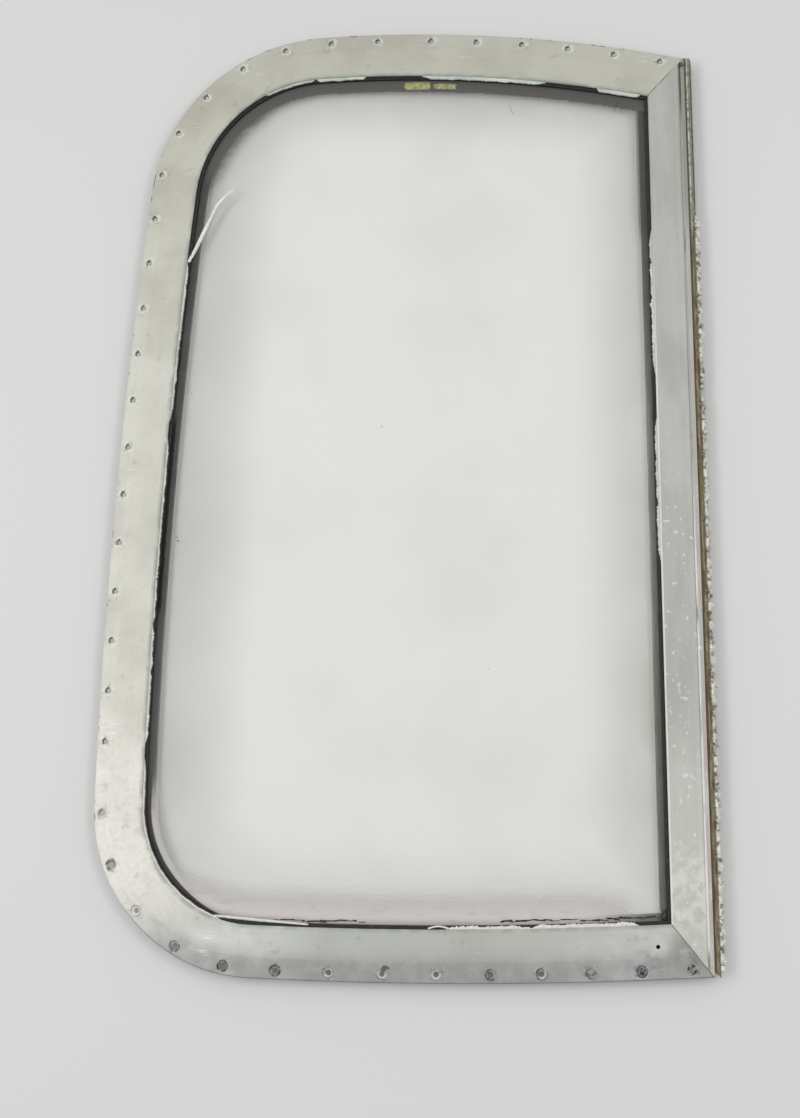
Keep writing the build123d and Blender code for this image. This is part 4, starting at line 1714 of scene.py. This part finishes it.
@dataclass(frozen=True)
class GlassDirt:
    """What lies on the glass: a film of dust, crumbs, hairs, and primer along the lip.

    Each larger crumb has whether it is pale, its place and its width. Each hair has its
    place, length and first direction, and each row of flakes its two ends and its distance
    from the lip.
    """

    film_inset: float = 38.6
    film_gap: float = 0.02
    larger: tuple[tuple[bool, float, float, float], ...] = (
        (False, -15.0, 40.0, 0.9),
        (False, -165.7, 72.0, 0.9),
        (False, -172.1, -46.8, 1.3),
        (False, -173.0, -44.0, 0.9),
        (False, 66.0, -147.0, 0.8),
        (True, -57.0, -168.0, 1.5),
        (False, -49.0, -200.0, 0.5),
    )
    scattered: int = 46
    hairs: tuple[tuple[float, ...], ...] = (
        (85.0, 303.0, 9.0, -1.6),
        (171.0, 300.0, 10.0, -2.4),
        (173.5, 296.0, 6.0, -2.2),
    )
    flake_rows: tuple[tuple[float, ...], ...] = (
        (-88.0, -62.0, 4.2),
        (-55.0, -20.0, 4.6),
        (75.0, 128.0, 5.6),
        (132.0, 180.0, 5.0),
    )

    def build(self) -> None:
        """Build the film, the crumbs, the hairs and the flakes."""
        self.film()
        self.crumbs()
        self.flakes()

    def film(self) -> None:
        """Film of dust all over the outer face of the glass."""
        sheet = bmesh.new()
        right = JAMB.lip - (self.film_inset - OUTLINE.face_width)
        arcs = OUTLINE.arcs(self.film_inset, right)
        level = LEVELS.glass_top + self.film_gap
        first = end = sheet.verts.new(above(arcs[0].at(0)[0], level) * MM)
        for arc in arcs:
            turn = arc.end - arc.start
            ring = bmesh.ops.spin(
                sheet,
                geom=[end],
                cent=above(arc.centre, level) * MM,
                axis=UPRIGHT,
                angle=turn,
                steps=max(6, round(degrees(turn) * 0.7)),
                use_merge=False,
                use_duplicate=False,
            )
            end = next(item for item in ring["geom_last"] if isinstance(item, bmesh.types.BMVert))
        sheet.edges.new((end, first))
        bmesh.ops.contextual_create(sheet, geom=sheet.edges[:])
        finish_piece("dust_film", sheet, DustFilm().make(), smooth=False)

    def crumbs(self) -> None:
        """Pale and dark crumbs, and hairs, where the photograph shows the larger ones."""
        chance = Random(11)
        pale, dark = bmesh.new(), bmesh.new()
        for is_pale, x, y, size in self.larger:
            self.crumb(pale if is_pale else dark, chance, x, y, size)
        for _ in range(self.scattered):
            shape = chance.choice((pale, dark))
            x, y = chance.uniform(-185, 185), chance.uniform(-320, 300)
            self.crumb(shape, chance, x, y, chance.uniform(0.15, 0.45))
        for x, y, length, turn in self.hairs:
            self.hair(dark, Vector((x, y)), length, turn)
        dark_finish = Speck("dark_crumb", "#4B463F", "#2A2724").make()
        finish_piece("dark_crumbs", dark, dark_finish)
        pale_finish = Speck("pale_crumb", "#ECEAE4", "#CFCDC6").make()
        finish_piece("pale_crumbs", pale, pale_finish)

    def crumb(self, shape: Shape, chance: Random, x: float, y: float, size: float) -> None:
        """Add one crumb.

        Args:
            shape: the mesh that it goes into.
            chance: source of its proportions.
            x: its place across.
            y: its place up.
            size: its width in millimetres.
        """
        made = bmesh.ops.create_icosphere(shape, subdivisions=1, radius=0.5)["verts"]
        for corner in made:
            corner.co *= chance.uniform(0.7, 1.25)
        where = Matrix.Translation(Vector((x, y, LEVELS.glass_top + 0.2 * size)) * MM)
        where = where @ Matrix.Rotation(chance.uniform(0, pi), 4, "Z")
        stretch = Matrix.Diagonal((size * chance.uniform(1, 1.6), size, size * 0.5, 1))
        bmesh.ops.transform(shape, matrix=where @ Matrix.Scale(MM, 4) @ stretch, verts=made)

    def hair(self, shape: Shape, point: Vector, length: float, turn: float) -> None:
        """Add one bent hair.

        Args:
            shape: the mesh that it goes into.
            point: where it starts.
            length: its length in millimetres.
            turn: its first direction in radians.
        """
        steps, bend, thickness = 14, 0.05, 0.28
        stations = []
        for _ in range(steps + 1):
            place = above(point, LEVELS.glass_top + 0.3)
            stations.append(Station(place, turn, thickness, thickness))
            turn += bend
            point = point + towards(turn) * length / steps
        sweep(shape, Section.HAIR, stations)

    def flakes(self) -> None:
        """Dark flakes of old primer on the glass just inside the bottom lip."""
        chance = Random(3)
        flakes = bmesh.new()
        for first, last, off in self.flake_rows:
            x = first
            while x < last:
                size = Vector((chance.uniform(2.5, 9), chance.uniform(0.5, 1.3), 0.12))
                y = OUTLINE.lip_height(x) + off + chance.uniform(-0.7, 0.7)
                place = Vector((x, y, LEVELS.glass_top + 0.03))
                patch(flakes, place, size, chance.uniform(-0.12, 0.12), x)
                x += chance.uniform(2, 6)
        finish = Speck("primer_grime", "#57534C", "#2E2C29").make()
        finish_piece("primer_flakes", flakes, finish, smooth=False)


@dataclass(frozen=True)
class Mitres:
    """Dirt that has settled in the two mitre joints of the frame."""

    width: float = 0.45
    height: float = 0.12
    sunk: float = 0.03
    steps: int = 40

    def build(self) -> None:
        """Build a thin line of dirt over each joint."""
        lines = bmesh.new()
        for height in (OUTLINE.top_height, OUTLINE.bottom_height):
            inner = Vector((JAMB.lip, height(OUTLINE.face_width, JAMB.lip)))
            outer = Vector((JAMB.outer, height(0, JAMB.outer)))
            heading = bearing(inner, outer)
            stations = []
            for i in range(self.steps + 1):
                share = i / self.steps
                slope = max(0.0, 1 - OUTLINE.face_width * (1 - share) / OUTLINE.flange_width)
                z = LEVELS.face - LEVELS.flange_drop * slope - self.sunk
                width = self.width * (1 + 0.5 * noisy(share * 20, height(0, 0)))
                place = above(inner.lerp(outer, share), z)
                stations.append(Station(place, heading, width, self.height))
            sweep(lines, Section.RIBBON, stations)
        finish = Speck("joint_dirt", "#56554B", "#33322C").make()
        finish_piece("mitre_dirt", lines, finish)


@dataclass(frozen=True)
class Metalwork:
    """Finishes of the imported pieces, which keep their shapes."""

    key_patch: float = 8.0
    screw_patch: float = 2.6
    plug_patch: float = 2.2

    def build(self) -> None:
        """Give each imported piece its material."""
        finishes = {
            "curved_frame": FrameAluminium(),
            "straight_jamb": JambAluminium(),
            "glass_pane": WindowGlass(),
            "curve_rubber jamb_rubber": GlazingRubber(),
            "top_key bottom_key": Fitting(Plating.KEY, self.key_patch),
            "pile_channel": RustedSteel(),
            "pile_base": PileBacking(),
            "corner_screw": Fitting(Plating.SCREW, self.screw_patch),
            "flush_rivet": Fitting(Plating.RIVET),
            "hole_plug": Fitting(Plating.FILLER, self.plug_patch),
        }
        for names, finish in finishes.items():
            material = finish.make()
            for name in names.split():
                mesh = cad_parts[name].data
                mesh.materials.clear()
                mesh.materials.append(material)
                log.info("%s: %s", name, material.name)


@dataclass(frozen=True)
class Studio:
    """Camera, floor and soft light, in millimetres, radians and watts."""

    camera_place: tuple[float, ...] = (122.08, -257.54, 1007.02)
    camera_turn: tuple[float, ...] = (0.1913, 0.1201, 0.0080)
    sensor: float = 36.0
    lens: float = 43.88
    floor_colour: str = "#DBDBDA"
    floor_size: float = 24000.0
    bright_sky: str = "#E5E5E6"
    dim_sky: str = "#B3B3B5"
    lamp_size: tuple[float, float] = (1100, 450)
    lamps: tuple[tuple[str, tuple[float, ...], float], ...] = (
        ("key_lamp", (-1000, -50, 1300), 6.4),
        ("side_lamp", (950, 100, 1300), 4.7),
    )

    def build(self) -> None:
        """Set up everything that isn't part of the window."""
        self.camera()
        self.floor()
        self.sky()
        for name, place, power in self.lamps:
            self.lamp(name, Vector(place), power)

    def camera(self) -> None:
        """Camera at the photograph's viewing angle."""
        data = bpy.data.cameras.new("camera")
        data.sensor_width = self.sensor
        data.lens = self.lens
        data.clip_start = 10 * MM
        data.clip_end = 100
        camera = bpy.data.objects.new("camera", data)
        camera.location = Vector(self.camera_place) * MM
        camera.rotation_euler = self.camera_turn
        bpy.context.scene.collection.objects.link(camera)
        bpy.context.scene.camera = camera

    def floor(self) -> None:
        """Plain pale floor that the window lies on."""
        sheet = bmesh.new()
        bmesh.ops.create_grid(sheet, x_segments=1, y_segments=1, size=self.floor_size / 2 * MM)
        mesh = bpy.data.meshes.new("floor")
        sheet.to_mesh(mesh)
        sheet.free()
        shade = Shade("floor_paper")
        paper = shade.add(Node.PAPER, linear(self.floor_colour), 0.95, 0.0)
        mesh.materials.append(shade.surface(paper))
        floor = bpy.data.objects.new("floor", mesh)
        bpy.context.scene.collection.objects.link(floor)

    def sky(self) -> None:
        """Soft light from all round, weaker from behind the bottom of the window."""
        world = bpy.data.worlds.new("soft_room")
        world.use_nodes = True
        graph = Graph(world.node_tree)
        axes = graph.add(Node.AXES, graph.add(Node.DIRECTION))
        share = graph.add(Node.RAMP, axes.outputs["Y"], 0.0, -0.5)
        tone = graph.add(Node.BLEND, linear(self.bright_sky), linear(self.dim_sky), share)
        graph.tree.links.new(tone, graph.tree.nodes["Background"].inputs["Color"])
        world.cycles.sampling_method = "NONE"
        bpy.context.scene.world = world

    def lamp(self, name: str, place: Vector, power: float) -> None:
        """Add a soft rectangular lamp that faces the window.

        Args:
            name: its name.
            place: where it hangs, in millimetres.
            power: its power in watts.
        """
        data = bpy.data.lights.new(name, "AREA")
        data.shape = "RECTANGLE"
        data.size, data.size_y = (side * MM for side in self.lamp_size)
        data.energy = power
        lamp = bpy.data.objects.new(name, data)
        lamp.location = place * MM
        lamp.rotation_euler = (-place).to_track_quat("-Z", "Y").to_euler()
        lamp.visible_transmission = False
        bpy.context.scene.collection.objects.link(lamp)


def main() -> None:
    """Build and dress the window."""
    logging.basicConfig(level=logging.INFO, format="%(name)s: %(message)s")
    bpy.context.scene.view_settings.view_transform = "Standard"
    parts = (Studio, Metalwork, Sealant, CurledStrip, Tape, Pile, GlassDirt, Mitres)
    for part in parts:
        part().build()


if __name__ == "__main__":
    main()
